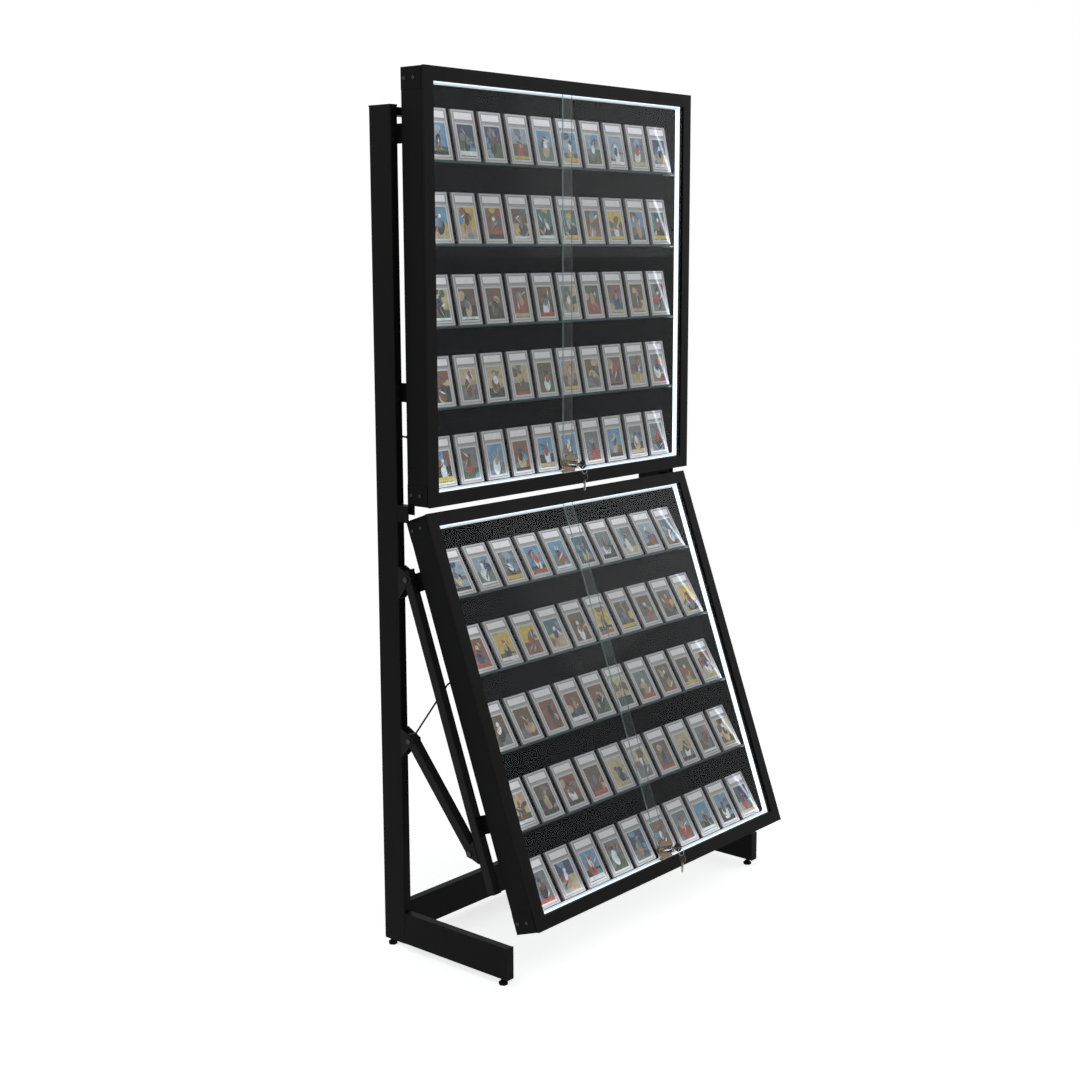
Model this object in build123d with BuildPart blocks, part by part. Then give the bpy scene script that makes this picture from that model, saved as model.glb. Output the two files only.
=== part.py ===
"""Free-standing trading card display: a tube stand that carries two lit, glass-doored cases.

Millimetres, +Z up. X runs along the cases, -Y is the side the doors face.
The origin is on the floor, under the middle of the whole object.
"""
import os
from math import asin, atan2, cos, degrees, hypot, radians, sin, sqrt, tan

from build123d import *

os.makedirs("parts", exist_ok=True)

# ---------------------------------------------------------------- driving dimensions
# stand
stand_width = 1132
tube_width = 25
tube_wall = 2
tube_corner = 1.5
upright_depth = 75
upright_top = 2178
upright_front = 100
foot_tube_height = 85
foot_tube_reach = 358
floor_gap = 18
top_crossbar_depth = 40
top_crossbar_height = 20
cap_thickness = 4

# cases, measured from the front face (d), the bottom edge (z) and the middle (x)
case_width = 1100
case_height = 1076
case_depth = 78
bezel_width = 34
bezel_depth = 7
upper_case_bottom = 1193
lower_case_top = 1178.5
lower_case_front = 12
lower_case_tilt = 20

# doors
glass_thickness = 4
front_pane_front = 3.6
rear_pane_front = 10.2
pane_overlap = 44
pane_edge_in_channel = 6
track_depth_in_rail = 16

# shelves and cards
shelf_count = 4
floor_rise = 40
shelf_pitch = 204
shelf_thickness = 5
shelf_front = 30
shelf_length = 1026
card_width = 84
card_height = 130
card_thickness = 6.5
card_pitch = 101.6
cards_in_row = 10
card_front = 32
back_panel_front = 66
back_panel_thickness = 3
plate = 1

# tilted arms and braces, in the lower case's own frame
arm_front = 102
arm_size = 25
arm_bottom = 114
arm_top = 953
arm_pivot_height = 933
knuckle_height = 223
knuckle_depth = 148.5
brace_clevis_height = 580
brace_clevis_reach = 30
sheet = 2
bolt_diameter = 8

# lock on the front pane
lock_x = -4
lock_height = 61
barrel_diameter = 19
barrel_length = 36
plug_diameter = 12
bolt_pin_size = 5
key_bow_radius = 11.5
key_thickness = 1.8
key_blade_width = 7.5
key_blade_length = 28
key_hole_inset = 4.5
key_hole_radius = 2.5
bow_sides = 12
hole_sides = 8
key_neck = 3
ring_radius = 11
ring_wire = 1.5
ring_sides = 20
plate_thickness = 1.3
plate_gap = 0.1

# LED leads
lead_diameter = 5

# ---------------------------------------------------------------- derived frames
tilt = radians(lower_case_tilt)
lower_bottom_y = lower_case_front - case_height * sin(tilt)
lower_bottom_z = lower_case_top - case_height * cos(tilt)
clamp_front = front_pane_front - plate_gap - plate_thickness
barrel_front = clamp_front - barrel_length
key_bow_depth = barrel_front - key_neck - key_bow_radius
key_hole_depth = key_bow_depth - key_bow_radius + key_hole_inset

# the ring rests in the key's hole and the spare key's hole rests on the ring
ring_slack = key_hole_radius - ring_wire / sqrt(2) - 0.05
ring_height = lock_height - ring_slack - ring_radius
ring_foot_height = ring_height - ring_radius

# the frontmost point is the bow of the lower spare key, the rearmost the back of the uprights
front_reach = (
    lower_bottom_y + ring_foot_height * sin(tilt) + key_hole_depth * cos(tilt) - key_bow_radius
)
rear_reach = upright_front + upright_depth
origin_shift = -(front_reach + rear_reach) / 2

stand = Plane(origin=(0, origin_shift, 0))
upper = Plane(stand.location * Location((0, 0, upper_case_bottom)))
lower = Plane(stand.location * Location((0, lower_bottom_y, lower_bottom_z), (-lower_case_tilt, 0, 0)))

tube_x = (stand_width - tube_width) / 2
inner_face_x = stand_width / 2 - tube_width
clevis_width = tube_width + 0.4 + 2 * sheet
pane_width = (case_width - 2 * bezel_width + 2 * pane_edge_in_channel + pane_overlap) / 2
pane_bottom = bezel_width - 5.5
pane_height = case_height - 2 * bezel_width + 11.5
card_lean = degrees(asin((back_panel_front - card_front - card_thickness) / card_height))


def on(base, plane):
    """A work plane given in a base frame's own axes."""
    return Plane(base.location * plane.location)


def in_base(base, *point):
    """The location of a point given in a base frame's own axes."""
    return base.location * Location(point)


def save(piece, name):
    """Label a finished piece and write it as its own STEP file."""
    piece.part.label = name
    export_step(piece.part, f"parts/{name}.step")


def facing_left_right(base, x, y, z):
    """A plane at a point, facing +X, with its own x along the base's +Y and its own y up."""
    return on(base, Plane(origin=(x, y, z), x_dir=(0, 1, 0), z_dir=(1, 0, 0)))


def facing_front(base, x, y, z):
    """A plane at a point, facing the base's -Y, with its own y up."""
    return on(base, Plane(origin=(x, y, z), x_dir=(1, 0, 0), z_dir=(0, -1, 0)))


def disc(plane, radius):
    """A round face on a plane."""
    return Face(Wire.make_circle(radius, plane))


def rod(plane, radius, length):
    """A round bar from a plane, along its normal."""
    return Solid.extrude(disc(plane, radius), plane.z_dir * length)


def cross_rod(base, x, y, z, radius, length):
    """A round bar along X, centred on a point."""
    return rod(facing_left_right(base, x - length / 2, y, z), radius, length)


def hexagon(plane, radius, length):
    """A six-sided bar from a plane, along its normal."""
    with BuildPart() as solid_bar:
        with BuildSketch(plane):
            RegularPolygon(radius, 6)
        extrude(amount=length)
    return solid_bar.part


# ---------------------------------------------------------------- stand tubes
def square_tube(plane, width, height, length):
    """A rectangular tube with eased corners, along the plane's normal."""
    with BuildPart() as tube:
        with BuildSketch(plane) as outline:
            Rectangle(width, height)
            chamfer(outline.vertices(), tube_corner)
            Rectangle(width - 2 * tube_wall, height - 2 * tube_wall, mode=Mode.SUBTRACT)
        extrude(amount=length)
    return tube.part


upper_lead_height = upper_case_bottom + 174
lower_lead_exit = (123.5, 540.6)
socket_size = 12
socket_height = 150
lead_x = -546
upright_middle = upright_front + upright_depth / 2
grommet_hole = lead_diameter / 2 + 0.6

upright_length = upright_top - floor_gap

with BuildPart() as left_upright:
    add(square_tube(
        on(stand, Plane(origin=(-tube_x, upright_middle, floor_gap))),
        tube_width, upright_depth, upright_length,
    ))
    for mouth in (
        facing_front(stand, lead_x, upright_front, upper_lead_height),
        facing_left_right(stand, -inner_face_x, *lower_lead_exit),
    ):
        add(hexagon(mouth, grommet_hole, -tube_wall), mode=Mode.SUBTRACT)
    with BuildSketch(facing_front(stand, -tube_x, rear_reach, socket_height)):
        Rectangle(socket_size, socket_size)
    extrude(amount=tube_wall, mode=Mode.SUBTRACT)
save(left_upright, "left_upright")

with BuildPart() as right_upright:
    add(square_tube(
        on(stand, Plane(origin=(tube_x, upright_middle, floor_gap))),
        tube_width, upright_depth, upright_length,
    ))
save(right_upright, "right_upright")

foot_middle_z = floor_gap + foot_tube_height / 2
front_foot_y = upright_front - foot_tube_reach + 20
rear_foot_y = upright_front + 58
insert_radius = 6.5

for side, side_name in ((-1, "left"), (1, "right")):
    with BuildPart() as foot_tube:
        add(square_tube(
            facing_front(stand, side * tube_x, upright_front, foot_middle_z),
            tube_width, foot_tube_height, foot_tube_reach,
        ))
        insert_plane = on(stand, Plane(origin=(side * tube_x, front_foot_y, floor_gap)))
        add(hexagon(insert_plane, insert_radius, tube_wall), mode=Mode.SUBTRACT)
    save(foot_tube, f"{side_name}_foot_tube")

with BuildPart() as bottom_crossbar:
    add(square_tube(
        facing_left_right(stand, -inner_face_x, rear_reach - tube_width / 2, foot_middle_z),
        tube_width, foot_tube_height, 2 * inner_face_x,
    ))
save(bottom_crossbar, "bottom_crossbar")

with BuildPart() as top_crossbar:
    add(square_tube(
        facing_left_right(stand, -inner_face_x, upright_middle, upright_top - top_crossbar_height / 2),
        top_crossbar_depth, top_crossbar_height, 2 * inner_face_x,
    ))
save(top_crossbar, "top_crossbar")

# ---------------------------------------------------------------- arms of the lower case
arm_middle = arm_front + arm_size / 2
pivot_hole = bolt_diameter / 2 + 0.1
block_above = 9
solid_end = 24

for side, side_name in ((-1, "left"), (1, "right")):
    with BuildPart() as arm:
        add(square_tube(
            on(lower, Plane(origin=(side * tube_x, arm_middle, arm_bottom))),
            tube_width, arm_size, arm_top - arm_bottom,
        ))
        # the block welded into the arm's upper end takes the pivot bolt
        block_bottom = arm_pivot_height - solid_end
        with BuildSketch(on(lower, Plane(origin=(side * tube_x, arm_middle, block_bottom)))):
            Rectangle(tube_width - 2 * tube_wall, arm_size - 2 * tube_wall)
        extrude(amount=arm_pivot_height + block_above - block_bottom)
        add(
            cross_rod(lower, side * tube_x, arm_middle, arm_pivot_height, pivot_hole, 2 * tube_width),
            mode=Mode.SUBTRACT,
        )
    save(arm, f"{side_name}_arm")


# ---------------------------------------------------------------- braces
def stand_point(depth, height):
    """Turn a point of the lower case's side view into the stand's (y, z)."""
    return (
        lower_bottom_y + height * sin(tilt) + depth * cos(tilt),
        lower_bottom_z + height * cos(tilt) - depth * sin(tilt),
    )


arm_pivot = stand_point(arm_middle, arm_pivot_height)
knuckle = stand_point(knuckle_depth, knuckle_height)
brace_pivot = (upright_front - brace_clevis_reach, brace_clevis_height)
brace_run = hypot(brace_pivot[0] - knuckle[0], brace_pivot[1] - knuckle[1])
brace_angle = degrees(atan2(brace_pivot[0] - knuckle[0], brace_pivot[1] - knuckle[1]))
brace_top_end = 18
brace_nose = 6

for side, side_name in ((-1, "left"), (1, "right")):
    # the brace's own frame: origin at the knuckle bolt, z up along the brace
    brace_frame = Plane(
        stand.location * Location((side * tube_x, *knuckle), (-brace_angle, 0, 0))
    )
    with BuildPart() as brace:
        with BuildSketch(facing_left_right(brace_frame, -tube_width / 2, 0, 0)) as side_view:
            with Locations((0, (brace_run + brace_top_end - arm_size / 2) / 2)):
                Rectangle(arm_size, brace_run + brace_top_end + arm_size / 2)
            chamfer(side_view.vertices(), brace_nose)
        extrude(amount=tube_width)
        # hollow between the blocks that take the pivot bolts
        with BuildSketch(on(brace_frame, Plane.XY.offset(solid_end))):
            Rectangle(tube_width - 2 * tube_wall, arm_size - 2 * tube_wall)
        extrude(amount=brace_run - 2 * solid_end, mode=Mode.SUBTRACT)
        for pivot_distance in (0, brace_run):
            add(
                cross_rod(brace_frame, 0, 0, pivot_distance, pivot_hole, 2 * tube_width),
                mode=Mode.SUBTRACT,
            )
    save(brace, f"{side_name}_brace")


# ---------------------------------------------------------------- clevises that hold arms and braces
def clevis(base, x, web_y, web_low, web_high, pivot, nose):
    """A folded U bracket: a web against a tube and two ears that reach past the pivot bolt."""
    outward = 1 if pivot[0] > web_y else -1
    reach = pivot[0] + outward * nose
    with BuildPart() as bracket:
        with BuildSketch(facing_left_right(base, x - clevis_width / 2, 0, 0)):
            with BuildLine():
                Polyline(
                    (web_y, web_low), (web_y, web_high), (pivot[0], pivot[1] + nose),
                    (reach, pivot[1] + nose / 2), (reach, pivot[1] - nose / 2), (pivot[0], pivot[1] - nose),
                    close=True,
                )
            make_face()
        extrude(amount=clevis_width)
        with BuildSketch(facing_left_right(base, x - clevis_width / 2 + sheet, 0, 0)):
            with Locations((web_y + outward * (sheet + upright_depth), (web_low + web_high) / 2)):
                Rectangle(2 * upright_depth, 3 * (web_high - web_low))
        extrude(amount=clevis_width - 2 * sheet, mode=Mode.SUBTRACT)
        add(cross_rod(base, x, *pivot, pivot_hole, 2 * clevis_width), mode=Mode.SUBTRACT)
    return bracket.part


arm_clevis_parts = [
    clevis(stand, side * tube_x, upright_front, 952, 1036, arm_pivot, 16) for side in (-1, 1)
]
with BuildPart() as arm_clevises:
    add(arm_clevis_parts)
save(arm_clevises, "arm_clevises")

brace_clevis_parts = []
for side in (-1, 1):
    brace_clevis_parts.append(clevis(stand, side * tube_x, upright_front, 533, 610, brace_pivot, 14))
    brace_clevis_parts.append(clevis(
        lower, side * tube_x, arm_front + arm_size,
        knuckle_height - 30, knuckle_height + 30, (knuckle_depth, knuckle_height), 13,
    ))
with BuildPart() as brace_clevises:
    add(brace_clevis_parts)
save(brace_clevises, "brace_clevises")

# pivot bolts: hexagon head outside, hexagon nut inside
bolt_hex_radius = 7.5
bolt_head_height = 4
nut_height = 6.5

with BuildPart() as pivot_bolts:
    for side in (-1, 1):
        for y, z in (arm_pivot, brace_pivot, knuckle):
            head_plane = on(stand, Plane(
                origin=(side * (tube_x + clevis_width / 2), y, z), x_dir=(0, 1, 0), z_dir=(side, 0, 0),
            ))
            add(hexagon(head_plane, bolt_hex_radius, bolt_head_height))
            add(rod(head_plane, bolt_diameter / 2, -clevis_width))
            add(hexagon(head_plane.offset(-clevis_width), bolt_hex_radius, -nut_height))
save(pivot_bolts, "pivot_bolts")

# ---------------------------------------------------------------- rests under the upper case
rest_reach = 38
rest_height = 43
rest_inner_height = 25
rest_sheet = 3
rest_top = upper_case_bottom + plate

with BuildPart() as case_rests:
    for side in (-1, 1):
        with BuildSketch(facing_left_right(stand, side * tube_x - tube_width / 2, 0, 0)):
            with Locations((upright_front - rest_reach / 2, rest_top - rest_height / 2)):
                Rectangle(rest_reach, rest_height)
        extrude(amount=tube_width)
        with BuildSketch(facing_left_right(stand, side * tube_x - tube_width / 2 + rest_sheet, 0, 0)):
            with Locations((
                upright_front - rest_sheet - rest_reach / 2, rest_top - rest_sheet - rest_height / 2,
            )):
                Rectangle(rest_reach, rest_height)
        extrude(amount=tube_width - 2 * rest_sheet, mode=Mode.SUBTRACT)
        # the inner cheek and web stop short of the tilted case's top edge
        inner_cheek_x = side * (inner_face_x + 5)
        with BuildSketch(facing_left_right(stand, inner_cheek_x - 6, 0, 0)):
            with Locations((
                upright_front - rest_sheet - rest_reach / 2,
                rest_top - rest_inner_height - rest_height / 2,
            )):
                Rectangle(rest_reach, rest_height)
        extrude(amount=12, mode=Mode.SUBTRACT)
save(case_rests, "case_rests")

# ---------------------------------------------------------------- brackets between cases and tubes
bracket_height = 48
bracket_sheet = 2.5
bracket_flange = 20
bracket_heights = (case_height - 157, case_height - 791)
bracket_seats = ((upper, upright_front), (lower, arm_front))

with BuildPart() as case_brackets:
    for base, tube_face in bracket_seats:
        for side in (-1, 1):
            for height in bracket_heights:
                with BuildSketch(on(base, Plane(origin=(0, 0, height - bracket_height / 2)))):
                    with BuildLine():
                        web, toe = side * inner_face_x, side * (inner_face_x - bracket_flange)
                        outer_web = side * (inner_face_x + bracket_sheet)
                        heel = side * (inner_face_x + bracket_sheet + bracket_flange)
                        Polyline(
                            (toe, case_depth), (outer_web, case_depth),
                            (outer_web, tube_face - bracket_sheet), (heel, tube_face - bracket_sheet),
                            (heel, tube_face), (web, tube_face), (web, case_depth + bracket_sheet),
                            (toe, case_depth + bracket_sheet), close=True,
                        )
                    make_face()
                extrude(amount=bracket_height)
save(case_brackets, "case_brackets")


# ---------------------------------------------------------------- end caps and levelling feet
def end_cap(plane, width, height):
    """A plastic cap: a flange over the tube's end and a plug inside it, on a plane facing outward."""
    with BuildPart() as cap:
        with BuildSketch(plane):
            Rectangle(width, height)
        extrude(amount=cap_thickness)
        with BuildSketch(plane):
            Rectangle(width - 2 * tube_wall - 0.4, height - 2 * tube_wall - 0.4)
        extrude(amount=-10)
    return cap.part


cap_parts = []
for side in (-1, 1):
    cap_parts.append(end_cap(
        on(stand, Plane(origin=(side * tube_x, upright_middle, upright_top))), tube_width, upright_depth,
    ))
    cap_parts.append(end_cap(
        facing_front(stand, side * tube_x, upright_front - foot_tube_reach, foot_middle_z),
        tube_width, foot_tube_height,
    ))
    cap_parts.append(end_cap(
        on(lower, Plane(origin=(side * tube_x, arm_middle, arm_top))), tube_width, arm_size,
    ))
    cap_parts.append(end_cap(
        on(lower, Plane(origin=(side * tube_x, arm_middle, arm_bottom), x_dir=(1, 0, 0), z_dir=(0, 0, -1))),
        tube_width, arm_size,
    ))
with BuildPart() as tube_end_caps:
    add(cap_parts)
save(tube_end_caps, "tube_end_caps")

stud_radius = 4
stud_clearance = 0.05
insert_length = 16
plug_clearance = 0.2

with BuildPart() as levelling_inserts:
    for side in (-1, 1):
        # front: a thread insert pressed into the foot tube's lower wall
        front_plane = on(stand, Plane(origin=(side * tube_x, front_foot_y, floor_gap)))
        add(hexagon(front_plane, insert_radius, insert_length))
        # rear: a threaded plug in the upright's lower end
        rear_plane = on(stand, Plane(origin=(side * tube_x, upright_middle, floor_gap)))
        with BuildSketch(rear_plane):
            Rectangle(
                tube_width - 2 * tube_wall - 2 * plug_clearance,
                upright_depth - 2 * tube_wall - 2 * plug_clearance,
            )
        extrude(amount=insert_length)
        for y in (front_foot_y, rear_foot_y):
            bore_mouth = on(stand, Plane(origin=(side * tube_x, y, floor_gap)))
            add(rod(bore_mouth, stud_radius + stud_clearance, insert_length), mode=Mode.SUBTRACT)
save(levelling_inserts, "levelling_inserts")

pad_radius = 12
pad_height = 7
jam_nut_height = 4
stud_top = floor_gap + insert_length - 2

for depth_name, y in (("front", front_foot_y), ("rear", rear_foot_y)):
    for side, side_name in ((-1, "left"), (1, "right")):
        with BuildPart() as levelling_foot:
            ground = on(stand, Plane(origin=(side * tube_x, y, 0)))
            add(hexagon(ground, pad_radius, pad_height))
            add(hexagon(ground.offset(pad_height), bolt_hex_radius, jam_nut_height))
            add(rod(ground, stud_radius, stud_top))
        save(levelling_foot, f"{depth_name}_{side_name}_levelling_foot")


# ---------------------------------------------------------------- the two cases
def side_frames(base):
    """Frames for the four sides of a case: x along the side, y into the case, z inward."""
    half_width, half_height = case_width / 2, case_height / 2
    sides = (
        (0, 0, 0, case_width),
        (half_width, half_height, -90, case_height),
        (0, case_height, 180, case_width),
        (-half_width, half_height, 90, case_height),
    )
    return [
        (Plane(base.location * Location((x, 0, z), (0, angle, 0))), length) for x, z, angle, length in sides
    ]


def profile(plane, outline, hollow=None):
    """A flat face from a closed outline, less a hollow."""
    face = Face(Wire.make_polygon([plane.from_local_coords((x, y, 0)) for x, y in outline], close=True))
    if hollow:
        face = Face(face.outer_wire(), [
            Wire.make_polygon([plane.from_local_coords((x, y, 0)) for x, y in hollow], close=True)
        ])
    return face


def mitre_tool(frame, length):
    """The block that trims a bar along one side of a case to 45 degrees at both ends."""
    half = length / 2 - mitre_gap
    reach = 2 * bezel_width
    plane = on(frame, Plane.XZ.offset(-2 * case_depth))
    outline = ((-half, 0), (half, 0), (half - reach, reach), (-half + reach, reach))
    return Solid.extrude(profile(plane, outline), plane.z_dir * 4 * case_depth)


def bar(frame, length, face_of):
    """A straight bar along one side of a case, from a face maker that takes the bar's end plane."""
    plane = facing_left_right(frame, -length / 2, 0, 0)
    return Solid.extrude(face_of(plane), plane.z_dir * length)


def mitred(frame, length, face_of):
    """A bar along one side of a case with 45 degree ends."""
    with BuildPart() as trimmed:
        add(bar(frame, length, face_of))
        add(mitre_tool(frame, length), mode=Mode.INTERSECT)
    return trimmed.part


mitre_gap = 0.1
channel_back = 15.5
rail_wall = 2
rabbet = 4
seam = 1.5
seam_depth = 4
track_base = bezel_width - track_depth_in_rail
rail_outline = (
    (bezel_depth, seam_depth), (bezel_depth + seam, seam_depth), (bezel_depth + seam, plate),
    (case_depth, plate), (case_depth, bezel_width - rabbet), (back_panel_front, bezel_width - rabbet),
    (back_panel_front, bezel_width), (channel_back, bezel_width), (channel_back, track_base),
    (bezel_depth, track_base),
)
rail_hollow = (
    (channel_back + rail_wall, plate + rail_wall), (back_panel_front - rail_wall, plate + rail_wall),
    (back_panel_front - rail_wall, bezel_width - rail_wall),
    (channel_back + rail_wall, bezel_width - rail_wall),
)
bezel_face = 2
bezel_rib = 4
bezel_outline = (
    (0, 0), (bezel_depth, 0), (bezel_depth, bezel_face), (bezel_face, bezel_face),
    (bezel_face, track_base - bezel_rib), (bezel_depth, track_base - bezel_rib),
    (bezel_depth, track_base), (bezel_face, track_base), (bezel_face, bezel_width), (0, bezel_width),
)
pane_play = 0.5


def track_outline(groove_depth):
    """A double channel: its front and rear grooves each take one pane's edge."""
    floor = bezel_width - groove_depth
    front_near, front_far = front_pane_front - pane_play, front_pane_front + glass_thickness + pane_play
    rear_near, rear_far = rear_pane_front - pane_play, rear_pane_front + glass_thickness + pane_play
    return (
        (bezel_face, track_base), (channel_back, track_base), (channel_back, bezel_width),
        (rear_far, bezel_width), (rear_far, floor), (rear_near, floor), (rear_near, bezel_width),
        (front_far, bezel_width), (front_far, floor), (front_near, floor), (front_near, bezel_width),
        (bezel_face, bezel_width),
    )


bottom_groove = 6
side_groove = 8
top_groove = 14.5
led_front = 16
led_width = 13
led_rise = 7
led_taper = 3
floor_plate_width = 1024
floor_sheet = 2
shelf_back = 65.5
lock_hole = 7.3
bolt_hole = 5.1


def led_face(plane):
    """The diffuser's section: flat on the wall, drawn in towards the light's face."""
    low, high, crown = led_front, led_front + led_width, bezel_width + led_rise
    return profile(plane, (
        (low, bezel_width), (low + led_taper, crown), (high - led_taper, crown), (high, bezel_width),
    ))


def build_case(name, base):
    """All pieces of one case except its lock and keys."""
    frames = side_frames(base)

    frame_bars = [mitred(*side, lambda plane: profile(plane, rail_outline, rail_hollow)) for side in frames]
    with BuildPart() as case_frame:
        add(frame_bars)
    save(case_frame, f"{name}_case_frame")

    bezel_bars = [mitred(*side, lambda plane: profile(plane, bezel_outline)) for side in frames]
    with BuildPart() as bezel:
        add(bezel_bars)
    save(bezel, f"{name}_bezel")

    groove_depths = (bottom_groove, side_groove, top_groove, side_groove)
    track_ends = (track_base, bezel_width + mitre_gap, track_base, bezel_width + mitre_gap)
    track_bars = [
        bar(frame, length - 2 * end, lambda plane, groove=groove: profile(plane, track_outline(groove)))
        for (frame, length), groove, end in zip(frames, groove_depths, track_ends)
    ]
    with BuildPart() as door_tracks:
        add(track_bars)
    save(door_tracks, f"{name}_door_tracks")

    led_bars = [mitred(*side, led_face) for side in frames]
    with BuildPart() as led_strips:
        add(led_bars)
    save(led_strips, f"{name}_led_strips")

    with BuildPart() as back_panel:
        with BuildSketch(facing_front(base, 0, back_panel_front + back_panel_thickness, case_height / 2)):
            Rectangle(
                case_width - 2 * (bezel_width - rabbet) - 1, case_height - 2 * (bezel_width - rabbet) - 1,
            )
        extrude(amount=back_panel_thickness)
    save(back_panel, f"{name}_back_panel")

    with BuildPart() as floor_plate:
        with BuildSketch(facing_left_right(base, -floor_plate_width / 2, 0, 0)):
            with BuildLine():
                rear, under = back_panel_front - 1, floor_rise - floor_sheet
                Polyline(
                    (shelf_front, bezel_width), (shelf_front, floor_rise), (rear, floor_rise),
                    (rear, bezel_width), (rear - floor_sheet, bezel_width), (rear - floor_sheet, under),
                    (shelf_front + floor_sheet, under), (shelf_front + floor_sheet, bezel_width),
                    close=True,
                )
            make_face()
        extrude(amount=floor_plate_width)
    save(floor_plate, f"{name}_floor_plate")

    with BuildPart() as glass_shelves:
        for shelf in range(1, shelf_count + 1):
            under = floor_rise + shelf * shelf_pitch - shelf_thickness
            with BuildSketch(on(base, Plane(origin=(0, (shelf_front + shelf_back) / 2, under)))):
                Rectangle(shelf_length, shelf_back - shelf_front)
            extrude(amount=shelf_thickness)
    save(glass_shelves, f"{name}_glass_shelves")

    half_row = (cards_in_row - 1) * card_pitch / 2
    lean = radians(card_lean)
    with BuildPart() as graded_cards:
        for row in range(shelf_count + 1):
            foot = floor_rise + row * shelf_pitch + card_thickness * sin(lean) + 0.05
            row_plane = on(base, Plane(
                origin=(0, card_front, foot), x_dir=(1, 0, 0), z_dir=(0, -cos(lean), sin(lean)),
            ))
            with BuildSketch(row_plane):
                with Locations(*[
                    (column * card_pitch - half_row, card_height / 2) for column in range(cards_in_row)
                ]):
                    Rectangle(card_width, card_height)
            extrude(amount=-card_thickness)
    save(graded_cards, f"{name}_graded_cards")

    # sliding doors: the right pane runs in the front groove, the left one in the rear groove
    pane_middle = case_width / 2 - bezel_width + pane_edge_in_channel - pane_width / 2
    doors = (
        ("right", pane_middle, front_pane_front, lock_hole),
        ("left", -pane_middle, rear_pane_front, bolt_hole),
    )
    for door_name, x, depth, hole in doors:
        with BuildPart() as door:
            with BuildSketch(facing_front(base, x, depth + glass_thickness, pane_bottom + pane_height / 2)):
                Rectangle(pane_width, pane_height)
            extrude(amount=glass_thickness)
            with BuildSketch(facing_front(base, lock_x, depth + glass_thickness, lock_height)):
                Circle(hole)
            extrude(amount=glass_thickness, mode=Mode.SUBTRACT)
        save(door, f"{name}_{door_name}_door")


build_case("upper", upper)
build_case("lower", lower)

# clear clips under the shelves' ends
clip_reach = 14
clip_front = 34
clip_width = 28
clip_thickness = 2

with BuildPart() as shelf_clips:
    for base in (upper, lower):
        for side in (-1, 1):
            clip_middle = side * (case_width / 2 - bezel_width - clip_reach / 2)
            for shelf in range(1, shelf_count + 1):
                under = floor_rise + shelf * shelf_pitch - shelf_thickness
                with BuildSketch(facing_front(
                    base, clip_middle, clip_front + clip_width, under - clip_thickness / 2,
                )):
                    Rectangle(clip_reach, clip_thickness)
                extrude(amount=clip_width)
save(shelf_clips, "shelf_clips")

# plates over the corner joints, on the outside of each case
corner_plate_height = 54
corner_plate_depth = case_depth - bezel_depth - seam - 1
corner_heights = (corner_plate_height / 2 + 1, case_height - corner_plate_height / 2 - 1)

with BuildPart() as corner_plates:
    for base in (upper, lower):
        for side in (-1, 1):
            for z in corner_heights:
                with BuildSketch(facing_left_right(
                    base, side * (case_width / 2 - plate), case_depth - corner_plate_depth / 2, z,
                )):
                    Rectangle(corner_plate_depth, corner_plate_height)
                extrude(amount=side * plate)
save(corner_plates, "corner_plates")


# ---------------------------------------------------------------- locks and keys
def flat_key(plane, tip):
    """A flat key: its bow's centre on the plane's origin, its blade along the plane's x."""
    with BuildPart() as key:
        with BuildSketch(plane):
            with Locations((tip / 2, 0)):
                Rectangle(tip, key_blade_width)
            RegularPolygon(key_bow_radius, bow_sides)
            with Locations((key_hole_inset - key_bow_radius, 0)):
                RegularPolygon(key_hole_radius, hole_sides, major_radius=False, mode=Mode.SUBTRACT)
        extrude(amount=key_thickness / 2, both=True)
    return key.part


clamp_left = -pane_overlap / 2 - 2
clamp_right = 26
clamp_low = 37
clamp_high = 84
clamp_arch = 14
clamp_lip = 14
lip_front = front_pane_front + glass_thickness + 0.3
lip_back = 9.3
plug_back = -12
sleeve_back = front_pane_front + glass_thickness
sleeve_radius = 7.1
bore_play = 0.06
bolt_length = 18
bolt_setback = 0.3


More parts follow.
